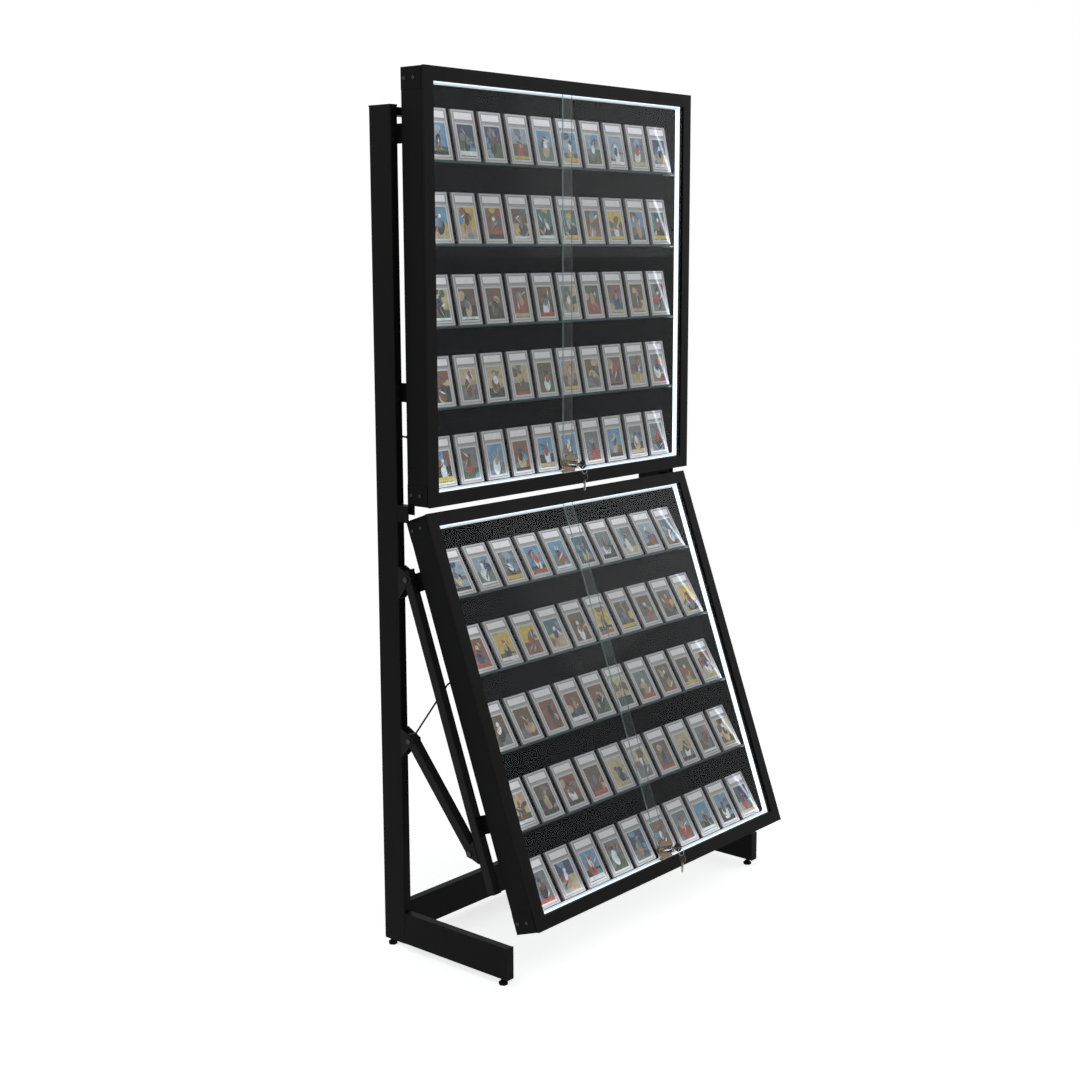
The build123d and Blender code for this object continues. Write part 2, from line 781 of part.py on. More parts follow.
def build_lock(name, base):
    """The lock clamped to the front pane's free edge, its plug, bolt, key, ring and spare key."""
    with BuildPart() as lock_body:
        # clamp plate with an arched top, wrapped round the pane's edge
        half = (clamp_right - clamp_left) / 2
        shoulder = clamp_high - clamp_low - clamp_arch
        with BuildSketch(facing_front(
            base, (clamp_left + clamp_right) / 2, clamp_front + plate_thickness, clamp_low,
        )):
            with BuildLine():
                Polyline((-half, shoulder), (-half, 0), (half, 0), (half, shoulder))
                ThreePointArc((half, shoulder), (0, shoulder + clamp_arch), (-half, shoulder))
            make_face()
        extrude(amount=plate_thickness)
        with BuildSketch(on(base, Plane(origin=(0, 0, clamp_low)))):
            with BuildLine():
                edge = clamp_left + plate_thickness
                Polyline(
                    (clamp_left, clamp_front), (clamp_left, lip_back), (clamp_left + clamp_lip, lip_back),
                    (clamp_left + clamp_lip, lip_front), (edge, lip_front), (edge, clamp_front),
                    close=True,
                )
            make_face()
        extrude(amount=shoulder)
        # barrel and the sleeve through the glass
        bolt_mouth = facing_front(base, lock_x, sleeve_back, lock_height)
        add(hexagon(bolt_mouth, sleeve_radius, sleeve_back - clamp_front))
        add(rod(facing_front(base, lock_x, clamp_front, lock_height), barrel_diameter / 2, barrel_length))
        # bores for the plug and for the bolt
        plug_seat = facing_front(base, lock_x, plug_back + bolt_setback, lock_height)
        add(rod(plug_seat, plug_diameter / 2 + bore_play, barrel_length), mode=Mode.SUBTRACT)
        with BuildSketch(bolt_mouth):
            Rectangle(bolt_pin_size + 2 * bore_play, bolt_pin_size + 2 * bore_play)
        extrude(amount=sleeve_back - plug_back, mode=Mode.SUBTRACT)
    save(lock_body, f"{name}_lock_body")

    with BuildPart() as lock_plug:
        add(rod(
            facing_front(base, lock_x, plug_back, lock_height), plug_diameter / 2, plug_back - barrel_front,
        ))
        with BuildSketch(facing_front(base, lock_x, plug_back - 2, lock_height)):
            Rectangle(key_thickness + 0.2, key_blade_width + 0.2)
        extrude(amount=plug_back - 2 - barrel_front, mode=Mode.SUBTRACT)
    save(lock_plug, f"{name}_lock_plug")

    with BuildPart() as lock_bolt:
        with BuildSketch(facing_front(base, lock_x, sleeve_back - bolt_setback, lock_height)):
            Rectangle(bolt_pin_size, bolt_pin_size)
        extrude(amount=bolt_length)
    save(lock_bolt, f"{name}_lock_bolt")

    # the key in the plug, upright, with the ring through its bow
    key_plane = on(base, Plane(
        origin=(lock_x, key_bow_depth, lock_height), x_dir=(0, 1, 0), z_dir=(1, 0, 0),
    ))
    ring_plane = facing_front(base, lock_x, key_hole_depth, ring_height)
    key_body = flat_key(key_plane, plug_back - 3 - key_bow_depth)
    with BuildPart() as lock_key:
        add(key_body)
        with BuildSketch(ring_plane):
            RegularPolygon(ring_radius + ring_wire / 2, ring_sides)
            RegularPolygon(ring_radius - ring_wire / 2, ring_sides, mode=Mode.SUBTRACT)
        extrude(amount=ring_wire / 2, both=True)
    save(lock_key, f"{name}_lock_key")

    # the spare key hangs plumb from the lowest point of the ring
    hang = in_base(base, lock_x, key_hole_depth, ring_foot_height).position
    bow_drop = key_bow_radius - key_hole_inset + ring_slack
    spare_body = flat_key(
        Plane(origin=hang - Vector(0, 0, bow_drop), x_dir=(0, 0, -1), z_dir=(1, 0, 0)),
        key_bow_radius + key_blade_length,
    )
    with BuildPart() as spare_key:
        add(spare_body)
    save(spare_key, f"{name}_spare_key")


build_lock("upper", upper)
build_lock("lower", lower)

# ---------------------------------------------------------------- LED leads
gland_radius = 4
gland_height = 4
grommet_height = 2
lower_lead_x = -527
lower_gland_height = 653

upper_gland = on(upper, Plane(
    origin=(lead_x, case_depth, upper_lead_height - upper_case_bottom), x_dir=(1, 0, 0), z_dir=(0, 1, 0),
))
lower_gland = on(lower, Plane(
    origin=(lower_lead_x, case_depth, lower_gland_height), x_dir=(1, 0, 0), z_dir=(0, 1, 0),
))
upper_grommet = facing_front(stand, lead_x, upright_front, upper_lead_height)
lower_grommet = facing_left_right(stand, -inner_face_x, *lower_lead_exit)

with BuildPart() as lead_glands:
    for gland in (upper_gland, lower_gland):
        add(hexagon(gland, gland_radius, gland_height))
    for grommet in (upper_grommet, lower_grommet):
        add(hexagon(grommet, gland_radius, grommet_height))
save(lead_glands, "lead_glands")

with BuildPart() as upper_led_lead:
    gap = upright_front - grommet_height - case_depth - gland_height
    add(hexagon(
        facing_front(stand, lead_x, upright_front - grommet_height, upper_lead_height), lead_diameter / 2, gap,
    ))
save(upper_led_lead, "upper_led_lead")

# straight out of the gland, pulled tight down to the upright, then round into its inner face
lead_route = [
    in_base(lower, lower_lead_x, case_depth + gland_height, lower_gland_height).position,
    in_base(lower, lower_lead_x, case_depth + gland_height + 22, lower_gland_height).position,
    in_base(stand, lower_lead_x, 119.8, 545.4).position,
    in_base(stand, lower_lead_x - 6, *lower_lead_exit).position,
    in_base(stand, grommet_height - inner_face_x, *lower_lead_exit).position,
]
lead_runs = [after - before for before, after in zip(lead_route, lead_route[1:])]
lead_radii = [
    0.45 * min(one.length, other.length) / tan(radians(one.get_angle(other) / 2))
    for one, other in zip(lead_runs, lead_runs[1:])
]

with BuildPart() as lower_led_lead:
    with BuildLine():
        lead_path = FilletPolyline(*lead_route, radius=lead_radii)
    with BuildSketch(Plane(origin=lead_path @ 0, z_dir=lead_path % 0)):
        RegularPolygon(lead_diameter / 2, 6)
    sweep()
lead_section = 1.5 * sqrt(3) * (lead_diameter / 2) ** 2
print("lead radii", [round(radius, 1) for radius in lead_radii])
print("lead length", round(lead_path.length, 1), "volume ratio", round(
    lower_led_lead.part.volume / (lead_section * lead_path.length), 4,
))
save(lower_led_lead, "lower_led_lead")

# the socket where power enters the hollow stand, flush with the left upright's rear wall
socket_length = 14
socket_bore = 3.2
socket_bore_depth = 10
socket_mouth = facing_front(stand, -tube_x, rear_reach, socket_height)

with BuildPart() as power_inlet:
    with BuildSketch(socket_mouth):
        Rectangle(socket_size, socket_size)
    extrude(amount=socket_length)
    add(rod(socket_mouth, socket_bore, socket_bore_depth), mode=Mode.SUBTRACT)
save(power_inlet, "power_inlet")
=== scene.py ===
import math
import random

import bpy
from bpy.props import FloatProperty, FloatVectorProperty, IntProperty, PointerProperty
from mathutils import Matrix, Vector


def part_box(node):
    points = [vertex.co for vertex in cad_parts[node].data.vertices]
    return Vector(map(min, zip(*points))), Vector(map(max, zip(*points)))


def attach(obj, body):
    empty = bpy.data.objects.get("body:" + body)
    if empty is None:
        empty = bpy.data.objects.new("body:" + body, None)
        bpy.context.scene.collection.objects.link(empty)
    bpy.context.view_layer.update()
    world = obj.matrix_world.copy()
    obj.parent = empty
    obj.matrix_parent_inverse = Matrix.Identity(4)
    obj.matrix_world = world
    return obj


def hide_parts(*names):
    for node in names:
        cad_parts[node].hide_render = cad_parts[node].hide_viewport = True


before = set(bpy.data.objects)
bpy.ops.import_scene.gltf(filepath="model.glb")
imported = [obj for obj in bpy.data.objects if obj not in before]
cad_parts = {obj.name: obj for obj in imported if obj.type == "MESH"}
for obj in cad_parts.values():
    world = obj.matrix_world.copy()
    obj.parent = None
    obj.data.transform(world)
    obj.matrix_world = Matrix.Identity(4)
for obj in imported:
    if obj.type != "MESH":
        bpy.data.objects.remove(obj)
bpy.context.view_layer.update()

bl_info = {
    "name": "Card Showcase",
    "version": (1, 0, 0),
    "blender": (4, 5, 0),
    "location": "View3D > Sidebar > Showcase",
    "description": "Dresses a free-standing display with two lit card cases",
    "category": "Object",
}

# ------------------------------------------------------------------ the two cases' own frames
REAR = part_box("left_upright")[1].y
SHIFT = REAR - 0.175
TILT = math.radians(20)
CASE_WIDTH, CASE_HEIGHT = 1.1, 1.076
UPPER = Matrix.Translation((0, SHIFT, 1.193))
LOWER_TOP_DEPTH, LOWER_TOP_HEIGHT = 0.012, 1.1785
LOWER = (
    Matrix.Translation((0, SHIFT + LOWER_TOP_DEPTH - CASE_HEIGHT * math.sin(TILT),
                        LOWER_TOP_HEIGHT - CASE_HEIGHT * math.cos(TILT)))
    @ Matrix.Rotation(-TILT, 4, "X")
)
CASES = {"upper": UPPER, "lower": LOWER}
INWARD = Vector((0, 1, 0))  # from a case's doors to its back panel, in the case's own frame
SHELF_TOPS = (0.040, 0.244, 0.448, 0.652, 0.856)


# ------------------------------------------------------------------ settings
class StandFinish(bpy.types.PropertyGroup):
    """Finish of the tube stand."""
    coat: FloatVectorProperty(
        name="Powder coat", description="Colour of the uprights and feet", subtype="COLOR",
        default=(0.0042, 0.0042, 0.0040), min=0, max=1)
    arm_coat: FloatVectorProperty(
        name="Arm coat", description="Colour of the tilted arms, braces and clevises", subtype="COLOR",
        default=(0.0165, 0.0165, 0.0160), min=0, max=1)
    peel: FloatProperty(
        name="Orange peel", description="Width of one ripple in the powder coat", unit="LENGTH",
        default=0.0012, min=0.0003, max=0.01)


class CaseFinish(bpy.types.PropertyGroup):
    """Finish of the two cases."""
    frame_black: FloatVectorProperty(
        name="Frame", description="Colour of the extruded frame and the corner plates", subtype="COLOR",
        default=(0.0020, 0.0022, 0.0021), min=0, max=1)
    bezel_black: FloatVectorProperty(
        name="Bezel", description="Colour of the bezel round the doors", subtype="COLOR",
        default=(0.0066, 0.0062, 0.0060), min=0, max=1)
    panel: FloatVectorProperty(
        name="Back panel", description="Colour of the panel behind the cards", subtype="COLOR",
        default=(0.0034, 0.0042, 0.0050), min=0, max=1)
    # the outer face of the back panel is painted lighter, as painted light for the dim light behind the stand
    panel_back_lightened: FloatVectorProperty(
        name="Panel's back", description="Colour of the outer face of the back panel", subtype="COLOR",
        default=(0.021, 0.021, 0.0206), min=0, max=1)
    lamp: FloatVectorProperty(
        name="Lamp", description="Colour of the lit diffusers", subtype="COLOR",
        default=(0.82, 0.91, 1.0), min=0, max=1)
    lamp_strength: FloatProperty(
        name="Lamp strength", description="Light that the lit diffusers cast", default=12.5, min=0, max=50)
    lamp_glare: FloatProperty(
        name="Lamp glare", description="Brightness of the diffusers when looked at",
        default=1.25, min=0, max=10)
    lamp_side: FloatProperty(
        name="Lamp sides",
        description="Brightness of a diffuser's sides when looked at, as a share of its face",
        subtype="FACTOR", default=0.85, min=0, max=1)


class GlassFinish(bpy.types.PropertyGroup):
    """Finish of the panes and shelves."""
    body: FloatVectorProperty(
        name="Body", description="Tint of light through a pane's faces", subtype="COLOR",
        default=(0.955, 0.98, 0.975), min=0, max=1)
    edge: FloatVectorProperty(
        name="Edge", description="Colour of a ground edge", subtype="COLOR",
        default=(0.10, 0.165, 0.185), min=0, max=1)
    edge_glow: FloatProperty(
        name="Edge glow", description="Lamp light that leaves the edges", default=0.22, min=0, max=5)


class CardFinish(bpy.types.PropertyGroup):
    """Look of the graded cards."""
    holder: FloatVectorProperty(
        name="Holder", description="Colour of the frosted clear holder", subtype="COLOR",
        default=(0.290, 0.255, 0.262), min=0, max=1)
    rim: FloatVectorProperty(
        name="Holder rim", description="Colour of the holder's raised rim", subtype="COLOR",
        default=(0.49, 0.45, 0.465), min=0, max=1)
    label: FloatVectorProperty(
        name="Label", description="Colour of the bare label", subtype="COLOR",
        default=(0.84, 0.76, 0.78), min=0, max=1)
    border: FloatVectorProperty(
        name="Border", description="Colour of the card's own border", subtype="COLOR",
        default=(0.58, 0.55, 0.54), min=0, max=1)
    seed: IntProperty(
        name="Seed", description="Chooses the printed pictures", default=11, min=0, max=999)


class StudioSetup(bpy.types.PropertyGroup):
    """Floor, light and camera."""
    floor: FloatVectorProperty(
        name="Floor", description="Colour of the floor", subtype="COLOR",
        default=(0.86, 0.86, 0.86), min=0, max=1)
    lens: FloatProperty(
        name="Lens", description="Focal length on a 36 mm sensor", subtype="DISTANCE_CAMERA",
        unit="CAMERA", default=55.85, min=10, max=300)
    daylight: FloatProperty(
        name="Daylight", description="Strength of the world's light on the object",
        default=0.36, min=0, max=5)
    softbox: FloatProperty(
        name="Softbox", description="Power of the main softbox", unit="POWER", default=42.0, min=0, max=2000)


# ------------------------------------------------------------------ shader helpers
class Wiring:
    """A node tree with short ways to add and join nodes."""

    def __init__(self, tree):
        self.tree = tree

    def add(self, kind, settings=(), **inputs):
        node = self.tree.nodes.new(kind)
        for key, value in dict(settings).items():
            setattr(node, key, value)
        for key, value in inputs.items():
            name = key.replace("_", " ")
            socket = node.inputs[int(key[1:])] if key[0] == "i" and key[1:].isdigit() else node.inputs[name]
            self.feed(socket, value)
        return node

    def feed(self, socket, value):
        if isinstance(value, bpy.types.NodeSocket):
            self.tree.links.new(value, socket)
        else:
            socket.default_value = value

    def math(self, operation, a, b=0.0, clamp=False):
        return self.add("ShaderNodeMath", {"operation": operation, "use_clamp": clamp}, i0=a, i1=b).outputs[0]

    def mix(self, factor, a, b, blend="MIX"):
        node = self.add("ShaderNodeMix", {"data_type": "RGBA", "blend_type": blend})
        self.feed(node.inputs["Factor"], factor)
        self.feed(node.inputs[6], a)
        self.feed(node.inputs[7], b)
        return node.outputs[2]

    def dot(self, a, b):
        return self.add("ShaderNodeVectorMath", {"operation": "DOT_PRODUCT"}, i0=a, i1=b).outputs["Value"]

    def span(self, value, low, high, to_low, to_high):
        node = self.add("ShaderNodeMapRange", {"clamp": True}, Value=value)
        for key, number in zip(("From Min", "From Max", "To Min", "To Max"), (low, high, to_low, to_high)):
            self.feed(node.inputs[key], number)
        return node.outputs[0]


def rgba(colour, alpha=1.0):
    return (*colour, alpha)


def new_group(name, inputs, outputs):
    """A shader node group with named sockets; returns its wiring, group input and group output."""
    tree = bpy.data.node_groups.new(name, "ShaderNodeTree")
    for direction, sockets in (("INPUT", inputs), ("OUTPUT", outputs)):
        for label, kind in sockets:
            tree.interface.new_socket(label, in_out=direction, socket_type=kind)
    wiring = Wiring(tree)
    return wiring, wiring.add("NodeGroupInput"), wiring.add("NodeGroupOutput")


COLOUR, NUMBER, VECTOR = "NodeSocketColor", "NodeSocketFloat", "NodeSocketVector"
BLACK, WHITE = (0, 0, 0, 1), (1, 1, 1, 1)
GLASS_IOR = 1.14
COAT_ROUGHNESS = 0.03


def coat_grain_group():
    """Fine ripple, tone drift and settled dust of a coated surface."""
    w, given, out = new_group(
        "coat_grain",
        [("Color", COLOUR), ("Ripple Scale", NUMBER), ("Roughness", NUMBER), ("Drift", NUMBER),
         ("Dust", NUMBER)],
        [("Color", COLOUR), ("Roughness", NUMBER), ("Height", NUMBER)])
    place = w.add("ShaderNodeTexCoord").outputs["Object"]
    ripple = w.add("ShaderNodeTexNoise", Vector=place, Scale=given.outputs["Ripple Scale"], Detail=2.0)
    drift = w.add("ShaderNodeTexNoise", Vector=place, Scale=3.1, Detail=4.0)
    grime = w.add("ShaderNodeTexNoise", Vector=place, Scale=17.0, Detail=6.0, Roughness=0.62)
    tone = w.span(drift.outputs[0], 0.3, 0.7, 0.82, 1.18)
    toned = w.mix(given.outputs["Drift"], given.outputs["Color"],
                  w.mix(1.0, given.outputs["Color"], tone, "MULTIPLY"))
    up = w.add("ShaderNodeSeparateXYZ", Vector=w.add("ShaderNodeNewGeometry").outputs["Normal"]).outputs[2]
    settled = w.math("MULTIPLY", w.span(up, 0.5, 1.0, 0.15, 1.0),
                     w.span(grime.outputs[0], 0.42, 0.75, 0.0, 1.0))
    dusty = w.math("MULTIPLY", settled, given.outputs["Dust"])
    w.feed(out.inputs["Color"], w.mix(dusty, toned, (0.20, 0.20, 0.19, 1)))
    rough = w.math("ADD", given.outputs["Roughness"], w.span(grime.outputs[0], 0.3, 0.7, -0.05, 0.07))
    w.feed(out.inputs["Roughness"], w.math("ADD", rough, w.math("MULTIPLY", dusty, 0.4), True))
    w.feed(out.inputs["Height"], ripple.outputs[0])
    return w.tree


def metal_polish_group():
    """Fine polishing lines and handling marks of bare metal."""
    w, given, out = new_group(
        "metal_polish",
        [("Color", COLOUR), ("Line Stretch", VECTOR), ("Roughness", NUMBER)],
        [("Color", COLOUR), ("Roughness", NUMBER), ("Height", NUMBER)])
    place = w.add("ShaderNodeTexCoord").outputs["Object"]
    stretched = w.add("ShaderNodeVectorMath", {"operation": "MULTIPLY"}, i0=place,
                      i1=given.outputs["Line Stretch"])
    lines = w.add("ShaderNodeTexNoise", Vector=stretched.outputs[0], Scale=1.0, Detail=3.0)
    marks = w.add("ShaderNodeTexNoise", Vector=place, Scale=140.0, Detail=5.0)
    smudge = w.span(marks.outputs[0], 0.35, 0.7, 0.0, 1.0)
    w.feed(out.inputs["Color"], w.mix(smudge, given.outputs["Color"],
                                      w.mix(1.0, given.outputs["Color"], (0.86, 0.85, 0.84, 1), "MULTIPLY")))
    rough = w.math("ADD", given.outputs["Roughness"], w.math("MULTIPLY", smudge, 0.10))
    w.feed(out.inputs["Roughness"],
           w.math("ADD", rough, w.span(lines.outputs[0], 0.3, 0.7, -0.04, 0.04), True))
    w.feed(out.inputs["Height"], lines.outputs[0])
    return w.tree


def pane_edge_group():
    """Tells a pane's ground edges from its polished faces, and gives the edges a painted glow."""
    w, given, out = new_group(
        "pane_edge",
        [("Face Normal", VECTOR), ("Body", COLOUR), ("Edge", COLOUR), ("Glow", NUMBER)],
        [("Color", COLOUR), ("Roughness", NUMBER), ("Emission", COLOUR)])
    normal = w.add("ShaderNodeTexCoord").outputs["Normal"]
    edge = w.math("LESS_THAN", w.math("ABSOLUTE", w.dot(normal, given.outputs["Face Normal"])), 0.7)
    w.feed(out.inputs["Color"], w.mix(edge, given.outputs["Body"], given.outputs["Edge"]))
    w.feed(out.inputs["Roughness"], w.math("MULTIPLY", edge, 0.35))
    # painted glow: the ground edges emit their own colour, standing in for lamp light carried along the glass
    glow = w.math("MULTIPLY", edge, given.outputs["Glow"])
    w.feed(out.inputs["Emission"],
           w.mix(1.0, given.outputs["Edge"], w.mix(glow, BLACK, WHITE), "MULTIPLY"))
    return w.tree


def paper_print_group():
    """Printed card stock: dot grain and a slight fade."""
    w, given, out = new_group(
        "paper_print", [("Color", COLOUR), ("Grain", NUMBER)], [("Color", COLOUR), ("Roughness", NUMBER)])
    place = w.add("ShaderNodeTexCoord").outputs["Object"]
    dots = w.add("ShaderNodeTexNoise", Vector=place, Scale=900.0, Detail=2.0)
    clouds = w.add("ShaderNodeTexNoise", Vector=place, Scale=70.0, Detail=4.0)
    shade = w.math("MULTIPLY", w.span(dots.outputs[0], 0.3, 0.7, 0.86, 1.12),
                   w.span(clouds.outputs[0], 0.3, 0.7, 0.7, 1.3))
    w.feed(out.inputs["Color"], w.mix(given.outputs["Grain"], given.outputs["Color"],
                                      w.mix(1.0, given.outputs["Color"], shade, "MULTIPLY")))
    w.feed(out.inputs["Roughness"], w.span(clouds.outputs[0], 0.3, 0.7, 0.28, 0.5))
    return w.tree


GROUP_MAKERS = {
    "coat_grain": coat_grain_group, "metal_polish": metal_polish_group,
    "pane_edge": pane_edge_group, "paper_print": paper_print_group,
}


def effect(wiring, name, **values):
    """One placed copy of a shared node group."""
    tree = bpy.data.node_groups.get(name) or GROUP_MAKERS[name]()
    node = wiring.tree.nodes.new("ShaderNodeGroup")
    node.node_tree = tree
    for key, value in values.items():
        wiring.feed(node.inputs[key.replace("_", " ")], value)
    return node.outputs


def new_material(name):
    """An empty material with its wiring, surface shader and output."""
    material = bpy.data.materials.new(name)
    material.use_nodes = True
    tree = material.node_tree
    tree.nodes.clear()
    wiring = Wiring(tree)
    shader = wiring.add("ShaderNodeBsdfPrincipled")
    output = wiring.add("ShaderNodeOutputMaterial")
    tree.links.new(shader.outputs[0], output.inputs["Surface"])
    return material, wiring, shader, output


def coated(name, colour, roughness, ripple=0.0012, depth=0.00004, specular=0.06, dust=0.0, coat=0.0):
    """Painted, anodised or moulded surfaces."""
    material, w, shader, _ = new_material(name)
    grain = effect(w, "coat_grain", Color=rgba(colour), Ripple_Scale=1 / ripple, Roughness=roughness,
                   Drift=0.8, Dust=dust)
    w.feed(shader.inputs["Base Color"], grain["Color"])
    w.feed(shader.inputs["Roughness"], grain["Roughness"])
    bump = w.add("ShaderNodeBump", Height=grain["Height"], Distance=depth, Strength=0.6)
    w.feed(shader.inputs["Normal"], bump.outputs[0])
    shader.inputs["Specular IOR Level"].default_value = specular
    shader.inputs["Coat Weight"].default_value = coat
    shader.inputs["Coat Roughness"].default_value = COAT_ROUGHNESS
    return material


def two_metals(name, base, depth, front_colour, back_colour, roughness):
    """Bare metal that changes tone at a depth in a case: the part before it and the part behind."""
    material, w, shader, _ = new_material(name)
    inward = base.to_3x3() @ INWARD
    place = w.add("ShaderNodeTexCoord").outputs["Object"]
    behind = w.math("GREATER_THAN", w.dot(place, tuple(inward)), inward.dot(base.translation) + depth)
    tone = w.mix(behind, rgba(front_colour), rgba(back_colour))
    polish = effect(w, "metal_polish", Color=tone, Line_Stretch=(400, 400, 400), Roughness=roughness)
    w.feed(shader.inputs["Base Color"], polish["Color"])
    w.feed(shader.inputs["Roughness"], polish["Roughness"])
    bump = w.add("ShaderNodeBump", Height=polish["Height"], Distance=0.00001, Strength=0.4)
    w.feed(shader.inputs["Normal"], bump.outputs[0])
    shader.inputs["Metallic"].default_value = 1.0
    return material


def panel_sheet(name, base, inside, lightened_outside):
    """Black sheet with a dark face inside a case and an outer face painted lighter, as painted light for the
    dim light behind the stand.
    """
    material, w, shader, _ = new_material(name)
    facing = w.add("ShaderNodeTexCoord").outputs["Normal"]
    # the outer face takes the lighter colour: painted light standing in for the dim light at the back
    outer = w.math("GREATER_THAN", w.dot(facing, tuple(base.to_3x3() @ INWARD)), 0.5)
    tone = w.mix(outer, rgba(inside), rgba(lightened_outside))
    grain = effect(w, "coat_grain", Color=tone, Ripple_Scale=50, Roughness=0.75, Drift=0.8, Dust=0.0)
    w.feed(shader.inputs["Base Color"], grain["Color"])
    w.feed(shader.inputs["Roughness"], grain["Roughness"])
    shader.inputs["Specular IOR Level"].default_value = 0.0
    return material


def bare_metal(name, colour, roughness, stretch=(300, 300, 300), depth=0.00001):
    """Chrome, nickel and zinc."""
    material, w, shader, _ = new_material(name)
    polish = effect(w, "metal_polish", Color=rgba(colour), Line_Stretch=stretch, Roughness=roughness)
    w.feed(shader.inputs["Base Color"], polish["Color"])
    w.feed(shader.inputs["Roughness"], polish["Roughness"])
    bump = w.add("ShaderNodeBump", Height=polish["Height"], Distance=depth, Strength=0.4)
    w.feed(shader.inputs["Normal"], bump.outputs[0])
    shader.inputs["Metallic"].default_value = 1.0
    return material


def clear_glass(name, look, face_normal):
    """Clear glass that lets lamp light through and has blue-green edges."""
    material, w, shader, output = new_material(name)
    pane = effect(w, "pane_edge", Face_Normal=face_normal, Body=rgba(look.body), Edge=rgba(look.edge),
                  Glow=look.edge_glow)
    w.feed(shader.inputs["Base Color"], pane["Color"])
    w.feed(shader.inputs["Roughness"], pane["Roughness"])
    w.feed(shader.inputs["Emission Color"], pane["Emission"])
    shader.inputs["Emission Strength"].default_value = 1.0
    shader.inputs["Transmission Weight"].default_value = 1.0
    shader.inputs["IOR"].default_value = GLASS_IOR
    clear = w.add("ShaderNodeBsdfTransparent", Color=rgba(look.body))
    path = w.add("ShaderNodeLightPath").outputs
    # a ray that went straight through glass counts as glossy too, and is left out here
    mirrored = w.math("MULTIPLY", path["Is Glossy Ray"], w.math("SUBTRACT", 1.0, path["Is Transmission Ray"]))
    bounced = w.math("MAXIMUM", path["Is Diffuse Ray"], mirrored)
    straight = w.math("MAXIMUM", path["Is Shadow Ray"], bounced)
    through = w.add("ShaderNodeMixShader", i0=straight, i1=shader.outputs[0], i2=clear.outputs[0])
    w.feed(output.inputs["Surface"], through.outputs[0])
    return material


def dress(material, *nodes):
    """Give CAD nodes a material in place of their plain one."""
    for name in nodes:
        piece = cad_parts[name]
        piece.data.materials.clear()
        piece.data.materials.append(material)


def new_piece(name, verts, faces, materials, indices=None, body="stand", smooth=False):
    """A mesh piece that rides on a CAD body."""
    mesh = bpy.data.meshes.new(name)
    mesh.from_pydata(verts, [], faces)
    for material in materials:
        mesh.materials.append(material)
    if indices:
        mesh.polygons.foreach_set("material_index", indices)
    mesh.update()
    if smooth:
        mesh.shade_smooth()
        mesh.set_sharp_from_angle(angle=math.radians(35))
    piece = bpy.data.objects.new(name, mesh)
    bpy.context.scene.collection.objects.link(piece)
    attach(piece, body)
    return piece


class Turned:
    """Collects small turned pieces, each round its own z axis."""

    def __init__(self):
        self.verts, self.faces = [], []

    def rings(self, place, rows):
        """Quads between rows of points, each row the same length."""
        start, count = len(self.verts), len(rows[0])
        for row in rows:
            self.verts += [place @ Vector(point) for point in row]
        for i in range(len(rows) - 1):
            for j in range(count):
                low, high = start + i * count, start + (i + 1) * count
                self.faces.append((low + j, low + (j + 1) % count, high + (j + 1) % count, high + j))
        return start, count

    def ring(self, place, profile, count):
        """A closed ring from a profile of radius and height."""
        rows = [[(r * math.cos(2 * math.pi * j / count), r * math.sin(2 * math.pi * j / count), z)
                 for j in range(count)] for r, z in reversed(profile)]
        self.rings(place, rows + rows[:1])

    def button(self, place, radius, height):
        """A button-head screw with a hexagon socket."""
        count, step = 18, math.pi / 3
        rows = []
        for r, z, hexed in ((1.0, 0.0, 0), (1.0, 0.2, 0), (0.93, 0.55, 0), (0.74, 0.88, 0), (0.50, 1.0, 0),
                            (0.42, 1.0, 1), (0.40, 0.35, 1), (0.02, 0.30, 1)):
            row = []
            for j in range(count):
                a = 2 * math.pi * j / count
                flat = math.cos(step / 2) / math.cos(a % step - step / 2) if hexed else 1.0
                row.append((radius * r * flat * math.cos(a), radius * r * flat * math.sin(a), height * z))
            rows.append(row)
        start, count = self.rings(place, rows)
        last = start + (len(rows) - 1) * count
        self.faces.append(tuple(last + j for j in range(count)))


